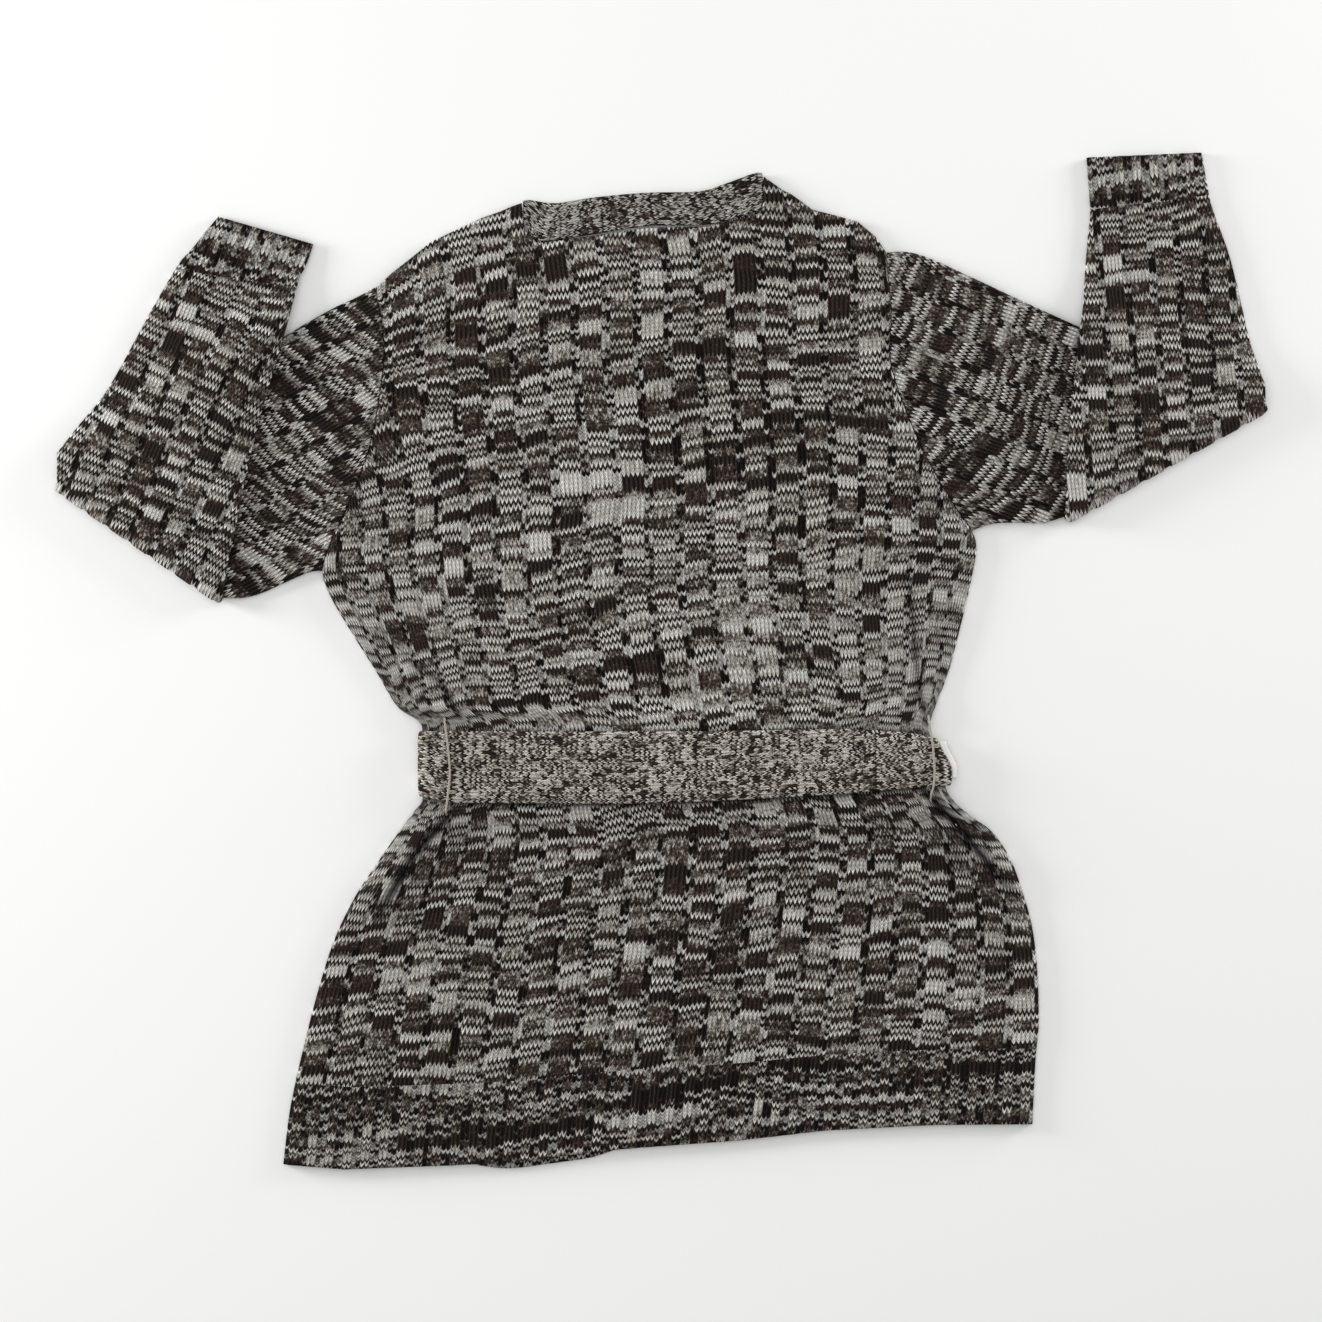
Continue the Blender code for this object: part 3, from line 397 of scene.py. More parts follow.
class Cloth:
    """Collects a closed cloth wall: grids for its faces and zipped strips for its rims."""

    def __init__(self, name):
        self.name = name
        self.points, self.uvs, self.shades, self.faces, self.slots = [], [], [], [], []
        self.count = 0

    def grid(self, points, uv, slots=None, wrap=False, flip=False, shade=0.0):
        """Adds a rows x columns grid of points and returns its indices."""
        rows, columns = points.shape[:2]
        index = np.arange(rows * columns).reshape(rows, columns) + self.count
        self.count += rows * columns
        self.points.append(points.reshape(-1, 3))
        self.uvs.append(uv.reshape(-1, 2))
        self.shades.append(np.broadcast_to(shade, (rows, columns)).reshape(-1))
        right = np.roll(index, -1, axis=1) if wrap else index[:, 1:]
        left = index if wrap else index[:, :-1]
        quads = np.stack([left[:-1], right[:-1], right[1:], left[1:]], axis=-1)
        if flip:
            quads = quads[..., ::-1]
        self.faces.append(quads.reshape(-1, 4))
        kinds = np.zeros(rows - 1, int) if slots is None else np.asarray(slots)
        self.slots.append(np.repeat(kinds, quads.shape[1]))
        return index

    def rim(self, line_a, line_b):
        """Triangles between two lines of points with any number of points each."""
        place_a = np.linspace(0, 1, len(line_a))
        place_b = np.linspace(0, 1, len(line_b))
        i, j, strip = 0, 0, []
        while i < len(line_a) - 1 or j < len(line_b) - 1:
            next_a = place_a[i + 1] if i < len(line_a) - 1 else 2.0
            next_b = place_b[j + 1] if j < len(line_b) - 1 else 2.0
            if next_a <= next_b:
                strip.append((line_a[i], line_a[i + 1], line_b[j], line_b[j]))
                i += 1
            else:
                strip.append((line_a[i], line_b[j + 1], line_b[j], line_b[j]))
                j += 1
        self.faces.append(np.array(strip))
        self.slots.append(np.zeros(len(strip), int))

    def finish(self, materials, body="root"):
        """Makes the object, with its stitches' places in millimetres as a UV map."""
        import bmesh
        points = np.concatenate(self.points) * MM
        uvs = np.concatenate(self.uvs)
        faces = np.concatenate(self.faces)
        slots = np.concatenate(self.slots)
        listed = [tuple(face) if face[2] != face[3] else tuple(face[:3]) for face in faces.tolist()]
        mesh = bpy.data.meshes.new(self.name)
        mesh.from_pydata(points.tolist(), [], listed)
        mesh.polygons.foreach_set("material_index", slots.astype(np.int32))
        layer = mesh.uv_layers.new(name="stitches")
        corners = np.empty(len(mesh.loops), np.int32)
        mesh.loops.foreach_get("vertex_index", corners)
        layer.data.foreach_set("uv", (uvs[corners] * MM).astype(np.float32).ravel())
        # Each point's share of painted shade, which darkens the knit's colour
        shade = mesh.attributes.new("fold_shade", "FLOAT", "POINT")
        shade.data.foreach_set("value", np.concatenate(self.shades).astype(np.float32))
        for material in materials:
            mesh.materials.append(material)
        shape = bmesh.new()
        shape.from_mesh(mesh)
        bmesh.ops.recalc_face_normals(shape, faces=shape.faces)
        shape.to_mesh(mesh)
        shape.free()
        mesh.shade_smooth()
        piece = bpy.data.objects.new(self.name, mesh)
        bpy.context.collection.objects.link(piece)
        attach(piece, body)
        return piece


def add(tree, kind, inputs=(), out=0, **settings):
    """Adds a node with its settings and links, and gives its output."""
    node = tree.nodes.new("ShaderNode" + kind)
    for name, value in settings.items():
        setattr(node, name, value)
    pairs = inputs.items() if isinstance(inputs, dict) else enumerate(inputs)
    for place, value in pairs:
        if isinstance(value, bpy.types.NodeSocket):
            tree.links.new(value, node.inputs[place])
        elif value is not None:
            node.inputs[place].default_value = value
    return node.outputs[out]


def new_material(name):
    """An empty material with its shader and output joined."""
    material = bpy.data.materials.new(name)
    material.use_nodes = True
    tree = material.node_tree
    tree.nodes.clear()
    shader = tree.nodes.new("ShaderNodeBsdfPrincipled")
    output = tree.nodes.new("ShaderNodeOutputMaterial")
    tree.links.new(shader.outputs[0], output.inputs[0])
    return material, tree, shader


def marl_knit(name, palette, stitch, course, stitches, purl, depth, streak=0.35, reach=2, groove=0.2,
              shift=0.0, pale_rows=None):
    """Bulky marled wool-acrylic yarn, knitted in ribs: short lengths of dark and pale yarn give
    blocks as wide as a rib's knit part, and purl grooves of small arcs between them. streak is the
    share of rows whose tone runs on over reach ribs, and groove darkens the purl columns with painted shade."""
    material, tree, shader = new_material(name)

    def maths(operation, *values):
        return add(tree, "Math", values, operation=operation)

    def noise(*seed):
        """Even random number from 0 to 1 for each set of whole numbers."""
        return add(tree, "TexWhiteNoise", (add(tree, "CombineXYZ", seed),), noise_dimensions="3D")

    def pick(share, a, b):
        return add(tree, "Mix", {0: share, 2: a, 3: b}, data_type="FLOAT")

    uv = add(tree, "UVMap", uv_map="stitches")
    places = tree.nodes.new("ShaderNodeSeparateXYZ")
    tree.links.new(uv, places.inputs[0])

    # A small wobble keeps the stitches from lying on a ruled grid
    wobble = add(tree, "TexNoise", {"Vector": uv, "Scale": 55.0, "Detail": 2.0})
    wobble = maths("SUBTRACT", wobble, 0.5)
    sway = add(tree, "TexNoise", {"Vector": uv, "Scale": 9.0, "Detail": 1.0})
    sway = maths("SUBTRACT", sway, 0.5)
    wale = maths("MULTIPLY", places.outputs[0], 1 / (stitch * MM))
    wale = maths("MULTIPLY_ADD", wobble, 0.8, wale)
    row = maths("MULTIPLY", places.outputs[1], 1 / (course * MM))
    row = maths("MULTIPLY_ADD", wobble, 1.4, row)
    row = maths("MULTIPLY_ADD", sway, 9.0, row)

    across = maths("FRACT", wale)
    leg = maths("ABSOLUTE", maths("MULTIPLY_ADD", across, 2.0, -1.0))
    rib = maths("MULTIPLY", maths("SUBTRACT", wale, purl / 2), 1 / stitches)
    is_purl = maths("GREATER_THAN", maths("FRACT", rib), 1 - purl / stitches)
    arc = maths("SINE", maths("MULTIPLY", across, math.pi))
    row_used = pick(is_purl, maths("MULTIPLY_ADD", leg, -1.15, row), maths("MULTIPLY_ADD", arc, 0.7, row))
    row_cell = maths("FLOOR", row_used)
    row_place = maths("FRACT", row_used)
    stitch_cell = maths("FLOOR", wale)

    # Some blocks reach one or two stitches into the next rib, and some go on through it
    drift = noise(maths("FLOOR", rib), row_cell, 3.7)
    drift = maths("MULTIPLY", maths("GREATER_THAN", drift, 0.7), 0.3)
    rib_cell = maths("FLOOR", maths("ADD", rib, drift))
    run_row = maths("FLOOR", maths("MULTIPLY", row_cell, 0.5))
    run = maths("FLOOR", maths("MULTIPLY_ADD", rib_cell, 1 / reach, noise(run_row, 5.5, 1.1)))
    joined = maths("LESS_THAN", noise(run, run_row, 7.7), streak)
    rib_cell = pick(joined, maths("MULTIPLY_ADD", is_purl, 0.37, rib_cell), maths("ADD", run, 500.5))
    turn_over = maths("ROUND", noise(rib_cell, maths("FLOOR", maths("MULTIPLY", row_cell, 0.2)), 6.6))
    alternate = maths("MULTIPLY", maths("FRACT", maths("MULTIPLY", maths("ADD", row_cell, turn_over), 0.5)), 2.0)
    single = maths("MULTIPLY_ADD", alternate, 0.44, maths("MULTIPLY", noise(rib_cell, row_cell, 0.0), 0.56))
    block_row = maths("FLOOR", maths("MULTIPLY_ADD", row_cell, 1 / 3, noise(rib_cell, 2.2, 8.3)))
    block = noise(rib_cell, block_row, 9.1)
    in_block = maths("GREATER_THAN", noise(rib_cell, block_row, 4.4), 0.79)
    tone = pick(in_block, single, block)

    # Every stitch differs, most of all in the purl grooves, and the yarn is marled along its length
    fleck = maths("SUBTRACT", noise(stitch_cell, row_cell, 1.9), 0.5)
    marl = maths("SUBTRACT", add(tree, "TexNoise", {"Vector": uv, "Scale": 420.0, "Detail": 3.0}), 0.5)
    tone = maths("MULTIPLY_ADD", fleck, pick(is_purl, 0.2, 0.75), tone)
    tone = maths("MULTIPLY_ADD", marl, 0.75, maths("ADD", tone, shift))
    if pale_rows:
        middle, reach_rows, gain = pale_rows
        away = maths("ABSOLUTE", maths("MULTIPLY_ADD", places.outputs[1], 1 / (reach_rows * MM), -middle / reach_rows))
        tone = maths("MULTIPLY_ADD", maths("MAXIMUM", maths("SUBTRACT", 1.0, away), 0.0), gain, tone)
    ramp = tree.nodes.new("ShaderNodeValToRGB")
    stops = (0.1, 0.36, 0.5, 0.64, 0.96)
    while len(ramp.color_ramp.elements) < len(stops):
        ramp.color_ramp.elements.new(0.5)
    for element, place, tint in zip(ramp.color_ramp.elements, stops, palette):
        element.position = place
        element.color = linear(tint)
    tree.links.new(tone, ramp.inputs[0])

    # The gaps between stitches fall towards a middle brown, painted shade on pale stitches and a lighter tone on dark
    # ones, and painted shade darkens rows where they meet
    gap = maths("MULTIPLY_ADD", maths("COSINE", maths("MULTIPLY", across, 2 * math.pi)), 0.5, 0.5)
    gap = maths("MULTIPLY", maths("POWER", gap, 1.6), pick(is_purl, 0.62, 0.3))
    colour = add(tree, "Mix", {0: gap, 6: ramp.outputs[0], 7: linear(GAP_SHADE_AND_TINT)}, data_type="RGBA", out=2)
    # Painted shade where rows meet, deeper along the purl grooves
    seam = maths("MULTIPLY_ADD", maths("COSINE", maths("MULTIPLY", row_place, 2 * math.pi)), 0.14, 0.14)
    seam = maths("MULTIPLY_ADD", is_purl, groove, seam)
    shade = maths("SUBTRACT", 1.0, seam)
    # Painted shade: the colour is darkened by the fold_shade share along creases and the belt's edges
    hidden = add(tree, "Attribute", out=2, attribute_name="fold_shade")
    shade = maths("MULTIPLY", shade, maths("MULTIPLY_ADD", hidden, -0.92, 1.0))
    colour = add(tree, "VectorMath", {0: colour, "Scale": shade}, operation="SCALE")
    tree.links.new(colour, shader.inputs["Base Color"])
    shader.inputs["Roughness"].default_value = 0.92
    shader.inputs["IOR"].default_value = 1.5
    shader.inputs["Specular IOR Level"].default_value = 0.1
    shader.inputs["Sheen Weight"].default_value = 0.02
    shader.inputs["Sheen Roughness"].default_value = 0.6

    # Height of the stitches: two legs to each, a bump to each row, and loose fibres
    legs = maths("MULTIPLY_ADD", maths("ABSOLUTE", maths("SUBTRACT", leg, 0.5)), -1.6, 1.0)
    rounds = maths("SINE", maths("MULTIPLY", row_place, math.pi))
    height = maths("MULTIPLY_ADD", marl, 0.8, maths("ADD", legs, rounds))
    bump = add(tree, "Bump", {"Strength": 0.9, "Distance": depth * MM, "Height": height})
    tree.links.new(bump, shader.inputs["Normal"])
    return material


def twisted_thread(name, hex_colour):
    """Pale sewing thread, chained: a soft rope twist over a matt core."""
    material, tree, shader = new_material(name)
    where = add(tree, "TexCoord", out=3)
    twist = add(tree, "TexWave", {"Vector": where, "Scale": 420.0, "Distortion": 2.0}, out=1,
                bands_direction="DIAGONAL")
    tint = add(tree, "Mix", {0: twist, 6: linear("#8f887c"), 7: linear(hex_colour)},
               data_type="RGBA", out=2)
    tree.links.new(tint, shader.inputs["Base Color"])
    shader.inputs["Roughness"].default_value = 0.7
    shader.inputs["Sheen Weight"].default_value = 0.1
    bump = add(tree, "Bump", {"Strength": 0.5, "Distance": 0.2 * MM, "Height": twist})
    tree.links.new(bump, shader.inputs["Normal"])
    return material


def woven_satin(name, hex_colour):
    """Polyester satin tape: long floats give it a soft gloss along its length."""
    material, tree, shader = new_material(name)
    where = add(tree, "TexCoord", out=3)
    weave = add(tree, "TexWave", {"Vector": where, "Scale": 1500.0, "Distortion": 0.4}, out=1,
                bands_direction="X")
    tint = add(tree, "Mix", {0: weave, 6: linear("#d9d8d6"), 7: linear(hex_colour)},
               data_type="RGBA", out=2)
    tree.links.new(tint, shader.inputs["Base Color"])
    shader.inputs["Roughness"].default_value = 0.38
    bump = add(tree, "Bump", {"Strength": 0.2, "Distance": 0.05 * MM, "Height": weave})
    tree.links.new(bump, shader.inputs["Normal"])
    return material


def paper_floor(name, hex_colour):
    """Matt pale board, the plain surface under the garment."""
    material, tree, shader = new_material(name)
    mottle = add(tree, "TexNoise", {"Scale": 3.0, "Detail": 2.0}, out=0)
    tint = add(tree, "Mix", {0: mottle, 6: linear(hex_colour), 7: linear("#f6f6f4")},
               data_type="RGBA", out=2)
    tree.links.new(tint, shader.inputs["Base Color"])
    shader.inputs["Roughness"].default_value = 0.95
    shader.inputs["Specular IOR Level"].default_value = 0.1
    return material


def body_material(kind):
    """The shared knit materials, made once."""
    found = bpy.data.materials.get(kind)
    if found:
        return found
    knit = bpy.context.scene.cardigan_knit
    trim = bpy.context.scene.cardigan_trim
    marl = (knit.dark, knit.brown, knit.grey, knit.light, knit.cream)
    fine = (trim.belt_dark, "#3b2f27", "#8a8278", trim.belt_light, "#efeae1")
    kinds = {
        "wide_rib_knit": (marl, knit.stitch, knit.course, STITCHES_IN_RIB, 2, 0.9, 0.25, 2, 0.2, -0.05,
                          (10, 180, 0.13)),
        "two_by_two_welt": (marl, knit.stitch, knit.course * 0.8, WELT_STITCHES, 2, 0.9, 0.8, 6, 0.4, -0.08),
        "sleeve_rib_knit": (marl, SLEEVE_RIB_PITCH / STITCHES_IN_RIB, knit.course, STITCHES_IN_RIB, 2, 0.8,
                            0.12, 2, 0.25, -0.06),
        "band_knit": (marl, 2.6, 2.3, 2, 1, 0.7, 0.2, 2, 0.25),
        "fine_marl_knit": (fine, 2.9, 2.0, 2, 1, 0.5, 0.15, 3, 0.12, -0.02),
    }
    return marl_knit(kind, *kinds[kind])


def row_points(v, t, inset=0.0):
    """Points of the back's rows: v is the row number as an array, t from -1 to 1 across."""
    rows = curve(BACK_ROWS, np.clip(v, 0, len(BACK_ROWS) - 1))
    yl, yr, xl, xr, hem, neck, lip, rib = [rows[:, k:k + 1] for k in range(8)]
    middle, half = (xl + xr) / 2, (xr - xl) / 2
    x = middle + (half - inset) * t[None, :]
    share = (x - xl) / (xr - xl)
    y = blend(yl, yr, share)
    hem_x = blend(HEM_LINE[0][0], HEM_LINE[-1][0], share)
    y = y + hem * (along(HEM_LINE, hem_x, 1) - blend(HEM_LINE[0][1], HEM_LINE[-1][1], share))
    neck_x = blend(NECK_LINE[0][0], NECK_LINE[-1][0], share)
    rise = along(NECK_LINE, neck_x, 1) - blend(NECK_LINE[0][1], NECK_LINE[-1][1], share)
    y = y + neck * np.minimum(YOKE_RISE, rise)
    return x, y, lip, rib, middle, half


def wale_place(x, y, middle, half):
    """Place across the ribs, in millimetres of knit: ribs draw together at the waist's sides, and
    run straight up into the armholes."""
    width = 2 * half
    t = np.clip((x - middle) / half, -1.0, 1.0)
    pull = np.minimum(1.38, BODY_RIBS * RIB_PITCH / width)
    spread = t.copy()
    for _step in range(8):
        value = pull * spread + (1 - pull) * spread ** 3 - t
        slope = np.maximum(0.12, pull + 3 * (1 - pull) * spread ** 2)
        spread = np.clip(spread - value / slope, -1.0, 1.0)
    gathered = spread * BODY_RIBS / 2 * RIB_PITCH
    straight = (x - middle)
    squeeze = np.clip(pull + 3 * (1 - pull) * spread ** 2, 0.0, 2.0)
    share = smooth(40.0, 190.0, y)
    return blend(gathered, straight, share), blend(smooth(0.3, 0.75, squeeze), 1.0, share)


ROW_SLOPE_HIGH = ((-300, 0.24), (-240, 0.21), (-150, 0.16), (0, 0.105), (100, 0.06), (200, 0.0),
                  (270, -0.08))
ROW_SLOPE_LOW = ((-310, 0.0), (-240, 0.03), (-150, 0.08), (0, 0.12), (100, 0.08), (200, 0.03),
                 (310, 0.0))


def course_place(x, y):
    """Place along the ribs: the rows climb to the right, most of all at the upper left."""
    grid = np.linspace(-320, 320, 321)
    rises = []
    for table in (ROW_SLOPE_LOW, ROW_SLOPE_HIGH):
        slope = along(table, grid, 1)
        rise = np.cumsum(slope) * (grid[1] - grid[0])
        rises.append(np.interp(x, grid, rise - rise[160]))
    shoulder = 0.25 * smooth(180.0, 300.0, y) * np.maximum(0.0, -x - 150.0) ** 2 / 60.0
    return y - blend(rises[0], rises[1], smooth(-130.0, 0.0, y)) + shoulder


def edge_profile():
    """Distances in from an edge and heights, from the foot of the turned edge to the flat."""
    turn = np.radians(np.linspace(0, 90, 7))
    inset = EDGE_ROUND * (1 - np.cos(turn)) * 0.8
    height = np.concatenate([[0.0], 0.35 + 0.65 * np.sin(turn)])
    return np.concatenate([[0.0], inset]), height


def build_back():
    """Back panel with its hem rib, ribs raised in its outer face."""
    cloth = Cloth("back_knit")
    per_row = 8
    count = len(BACK_ROWS) - 1
    v = np.linspace(0, count, count * per_row + 1)
    inset, rise = edge_profile()
    flat = np.linspace(-1, 1, 236)
    half_top = row_points(v[-1:], flat)[5][0, 0]
    neck_middle = (NECK_LINE[0][0] + NECK_LINE[-1][0]) / 2
    neck_half = (NECK_LINE[-1][0] - NECK_LINE[0][0]) / 2
    for corner in NECK_CORNERS:
        place = (corner - neck_middle) / neck_half * half_top / (half_top - inset[-1])
        flat[np.argmin(np.abs(flat - place))] = place
    columns = len(inset) * 2 + len(flat) - 2
    points = np.zeros((len(v), columns, 3))
    uv = np.zeros((len(v), columns, 2))
    xf, yf, lip, rib, middle, half = row_points(v, flat, inset[-1])
    parts = []
    for side in (-1, 1):
        xs, ys = [], []
        for d in inset[:-1]:
            x, y, *_rest = row_points(v, np.array([float(side)]), d)
            xs.append(x)
            ys.append(y)
        parts.append((np.concatenate(xs, 1), np.concatenate(ys, 1)))
    x = np.concatenate([parts[0][0], xf, parts[1][0][:, ::-1]], 1)
    y = np.concatenate([parts[0][1], yf, parts[1][1][:, ::-1]], 1)
    edge = np.concatenate([rise[:-1], np.ones(len(flat)), rise[:-1][::-1]])[None, :]
    wale, open_rib = wale_place(x, y, middle, half)
    centre_y = yf[:, len(flat) // 2][:, None]
    hem_share = smooth(HEM_BAND_TOP + 3, HEM_BAND_TOP - 3, centre_y - centre_y[0, 0])
    wide = rib_height(wale, RIB_PITCH, STITCHES_IN_RIB, 2)
    narrow = rib_height(wale, RIB_PITCH * WELT_STITCHES / STITCHES_IN_RIB, WELT_STITCHES, 2)
    ribs = blend(wide, 0.75 * narrow, hem_share) * open_rib * rib
    inside = BACK_INSIDE + belt_lift(y)
    folds = fold_height(BACK_FOLDS, x, y) + crease_height(x, y)[0] + np.maximum(0.0, waves(x, y, 0.5))
    top = inside + GROOVE_WALL + (CREST_WALL - GROOVE_WALL) * ribs + folds
    foot = blend(inside, belt_lift(y), lip)
    z = blend(foot, top, edge)
    points[..., 0], points[..., 1], points[..., 2] = x, y, z
    uv[..., 0], uv[..., 1] = wale, course_place(x, y)

    # The last rows run from the yoke to the shoulder and neck line and turn over it
    xs = x[-1]
    line = along(NECK_LINE, blend(NECK_LINE[0][0], NECK_LINE[-1][0], (xs - xs[0]) / (xs[-1] - xs[0])), 1)
    end_x = blend(NECK_LINE[0][0], NECK_LINE[-1][0], (xs - xs[0]) / (xs[-1] - xs[0]))
    lips = along(NECK_LINE, end_x, 2)
    extra, extra_uv = [], []
    shares = list(np.linspace(0.15, 1.0, 7))
    steps = [(share, EDGE_ROUND + 3.0, 1.0) for share in shares]
    steps += [(1.0, d, h) for d, h in zip(inset[::-1], rise[::-1])]
    yoke_ribs = rib_height(wale[-1], RIB_PITCH, STITCHES_IN_RIB, 2) * 0.9
    for share, back_off, height in steps:
        px = blend(xs, end_x, share)
        py = blend(y[-1], line - back_off, share)
        near = smooth(26.0, 8.0, back_off + (1 - share) * 40)
        top = BACK_INSIDE + GROOVE_WALL + (CREST_WALL - GROOVE_WALL) * yoke_ribs * (1 - 0.6 * near)
        low = blend(BACK_INSIDE, 0.0, lips)
        pz = blend(low, top, height * edge[0])
        extra.append(np.stack([px, py, pz], -1))
        extra_uv.append(np.stack([wale[-1], course_place(px, py)], -1))
    points = np.concatenate([points, np.array(extra)])
    uv = np.concatenate([uv, np.array(extra_uv)])
    middle_y = points[:-1, columns // 2, 1]
    slots = (middle_y - middle_y[0] < HEM_BAND_TOP).astype(int)
    shade = fold_shade(points[..., 0], points[..., 1])
    outer = cloth.grid(points, uv, slots, shade=shade)

    rows = np.concatenate([np.linspace(0, count, count * 2 + 1)])
    t = np.linspace(-1, 1, 60)
    x, y, lip, _rib, _middle, _half = row_points(rows, t, LIP_WALL)
    rise = fold_height(BACK_FOLDS, x, y) + crease_height(x, y)[0]
    z = BACK_INSIDE + belt_lift(y) + rise * (1 - np.abs(t[None, :]) ** 12)
    foot_z = blend(BACK_INSIDE + belt_lift(y), belt_lift(y), lip)
    inner = np.stack([x, y, z], -1)
    left = np.stack([x[:, 0], y[:, 0], foot_z[:, 0]], -1)[:, None]
    right = np.stack([x[:, -1], y[:, -1], foot_z[:, -1]], -1)[:, None]
    inner = np.concatenate([left, inner, right], 1)
    top_x = blend(NECK_LINE[0][0] + LIP_WALL, NECK_LINE[-1][0] - LIP_WALL, (inner[-1, :, 0] - inner[-1, 0, 0])
                  / (inner[-1, -1, 0] - inner[-1, 0, 0]))
    top_y = along(NECK_LINE, top_x, 1)
    lips = along(NECK_LINE, top_x, 2)
    shelf = np.stack([top_x, top_y - LIP_WALL - 1.2, np.full_like(top_x, BACK_INSIDE)], -1)
    foot = np.stack([top_x, top_y - LIP_WALL - 1.2, blend(BACK_INSIDE - 0.01, 0.0, lips)], -1)
    inner = np.concatenate([inner, shelf[None], foot[None]])
    inside = cloth.grid(inner, inner[..., :2].copy(), flip=True)
    join_rims(cloth, outer, inside)
    piece = cloth.finish([body_material("wide_rib_knit"), body_material("two_by_two_welt")])
    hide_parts("back")
    return piece


def join_rims(cloth, outer, inner):
    """Closes a wall along its four edges."""
    cloth.rim(outer[0], inner[0])
    cloth.rim(outer[-1], inner[-1])
    cloth.rim(outer[:, 0], inner[:, 0])
    cloth.rim(outer[:, -1], inner[:, -1])


def band_edge_x(y, side):
    """x of the band's seam edge under the fronts."""
    tilt = 180 if side < 0 else -180
    table = sorted((row[1], row[0]) for row in NECK_BAND if row[5] == tilt)
    return along(table, y, 1)


def build_front(side):
    """One front: a plain-inside knit wall flat on the floor, ribs showing as colour and bump."""
    name = "front_left" if side < 0 else "front_right"
    cloth = Cloth(name + "_knit")
    count = len(BACK_ROWS) - 1
    sides = []
    for index in np.linspace(0, count, count * 3 + 1):
        row = np.array([index])
        lipped = index <= UNDERARM_ROW + 1
        x, y, *_rest = row_points(row, np.array([float(side)]), LIP_WALL + GAP if lipped else 0.0)
        if index > UNDERARM_ROW and lipped:
            x = x
        sides.append((x[0, 0], y[0, 0], blend(BACK_ROWS[int(index)][0], BACK_ROWS[int(index)][1], 0.5)))
    shares = np.linspace(0, 1, 40)
    rows = []
    for k, (x_side, y_side, _mid) in enumerate(sides):
        place = k / 3
        low = min(int(place), count - 1)
        part = place - low
        level_l = blend(BACK_ROWS[low][0], BACK_ROWS[low + 1][0], part)
        level_r = blend(BACK_ROWS[low][1], BACK_ROWS[low + 1][1], part)
        level = blend(level_l, level_r, 0.5)
        x_inner = band_edge_x(level, side) + side * GAP
        x = blend(x_side, x_inner, shares)
        y = blend(y_side, level, shares)
        hem = max(0.0, 1.0 - place / 2)
        if hem > 0:
            peek = smooth(-175, -120, x) * smooth(-20, -60, x)
            on_hem = along(HEM_LINE, x, 1) + 3.0 - (3.0 + FRONT_PEEK) * peek
            rise = (place / 2) * 62
            y = blend(y, on_hem + rise, hem ** 0.5)
            if k == 0:
                x = x - side * 0.8 * (1 - shares)
        rows.append(np.stack([x, y, belt_lift(y)], -1))
    x_outer, x_inner = (-225.5, -126) if side < 0 else (177.5, 100)
    x = blend(x_outer, x_inner, shares)
    y = along(NECK_LINE, x, 1) - LIP_WALL - 2.7 - GAP - 4.0 * shares ** 2
    rows.append(np.stack([x, y, np.zeros_like(x)], -1))
    low = np.array(rows)
    high = low.copy()
    high[..., 2] += FRONT_WALL
    ends = np.ones(low.shape[:2])
    ends[:, -1] = 0.75
    high[..., 2] = low[..., 2] + FRONT_WALL * ends
    uv = low[..., :2].copy()
    slots = (uv[:-1, 20, 1] - uv[0, 20, 1] < HEM_BAND_TOP).astype(int)
    bottom = cloth.grid(low, uv, slots)
    top = cloth.grid(high, uv, slots, flip=True)
    join_rims(cloth, bottom, top)
    piece = cloth.finish([body_material("wide_rib_knit"), body_material("two_by_two_welt")])
    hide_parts(name)
    return piece


def build_neck_band():
    """The front and neck band: one strip that turns over at each neck point."""
    cloth = Cloth("neck_band_knit")
    rows = curve(NECK_BAND, np.linspace(0, len(NECK_BAND) - 1, (len(NECK_BAND) - 1) * 5 + 1))
    for k in (0, -1):
        rows[k] = NECK_BAND[k]
    share = np.linspace(0, 1, 22)
    ax, ay, bx, by, height, tilt = [rows[:, k:k + 1] for k in range(6)]
    across = np.hypot(bx - ax, by - ay)
    side_x, side_y = (by - ay) / across, -(bx - ax) / across
    angle = np.radians(np.clip(tilt, -180, 180))
    nx, ny, nz = -side_x * np.sin(angle), -side_y * np.sin(angle), np.cos(angle)
    x, y = blend(ax, bx, share), blend(ay, by, share)
    z = height + np.where(np.abs(tilt) > 90, belt_lift(y), 0.0)
    round_off = 1 - 0.45 * (np.abs(2 * share - 1) ** 6)
    ribs = 0.22 * rib_height(share * 30, 10.0, 3, 1)
    outer = BAND_WALL / 2 * round_off + ribs * (np.abs(tilt) < 100)
    step = np.hypot(np.gradient(ax[:, 0]), np.gradient(ay[:, 0]))
    length = np.concatenate([[0], np.cumsum((step[1:] + step[:-1]) / 2)])[:, None]
    uv = np.stack([share * across, length + 0 * share], -1)
    high = np.stack([x + nx * outer, y + ny * outer, z + nz * outer], -1)
    plain = BAND_WALL / 2
    low = np.stack([x - nx * plain, y - ny * plain, z - nz * plain], -1)
    top = cloth.grid(high, uv)
    under = cloth.grid(low[:, ::3], uv[:, ::3], flip=True)
    join_rims(cloth, top, under)
    piece = cloth.finish([body_material("band_knit")])
    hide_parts("neck_band")
    return piece


def belt_swell(x):
    """The belt stands up a little where the cloth under it is gathered at the sides."""
    return 0.5 * (smooth(-120, -180, x) + smooth(160, 215, x))


def belt_slant(share, x):
    """How far the belt's right end leans in, at a share of the belt's width."""
    return BELT_SLANT * smooth(0.3, 1.0, share) * smooth(150, BELT_RIGHT, x)


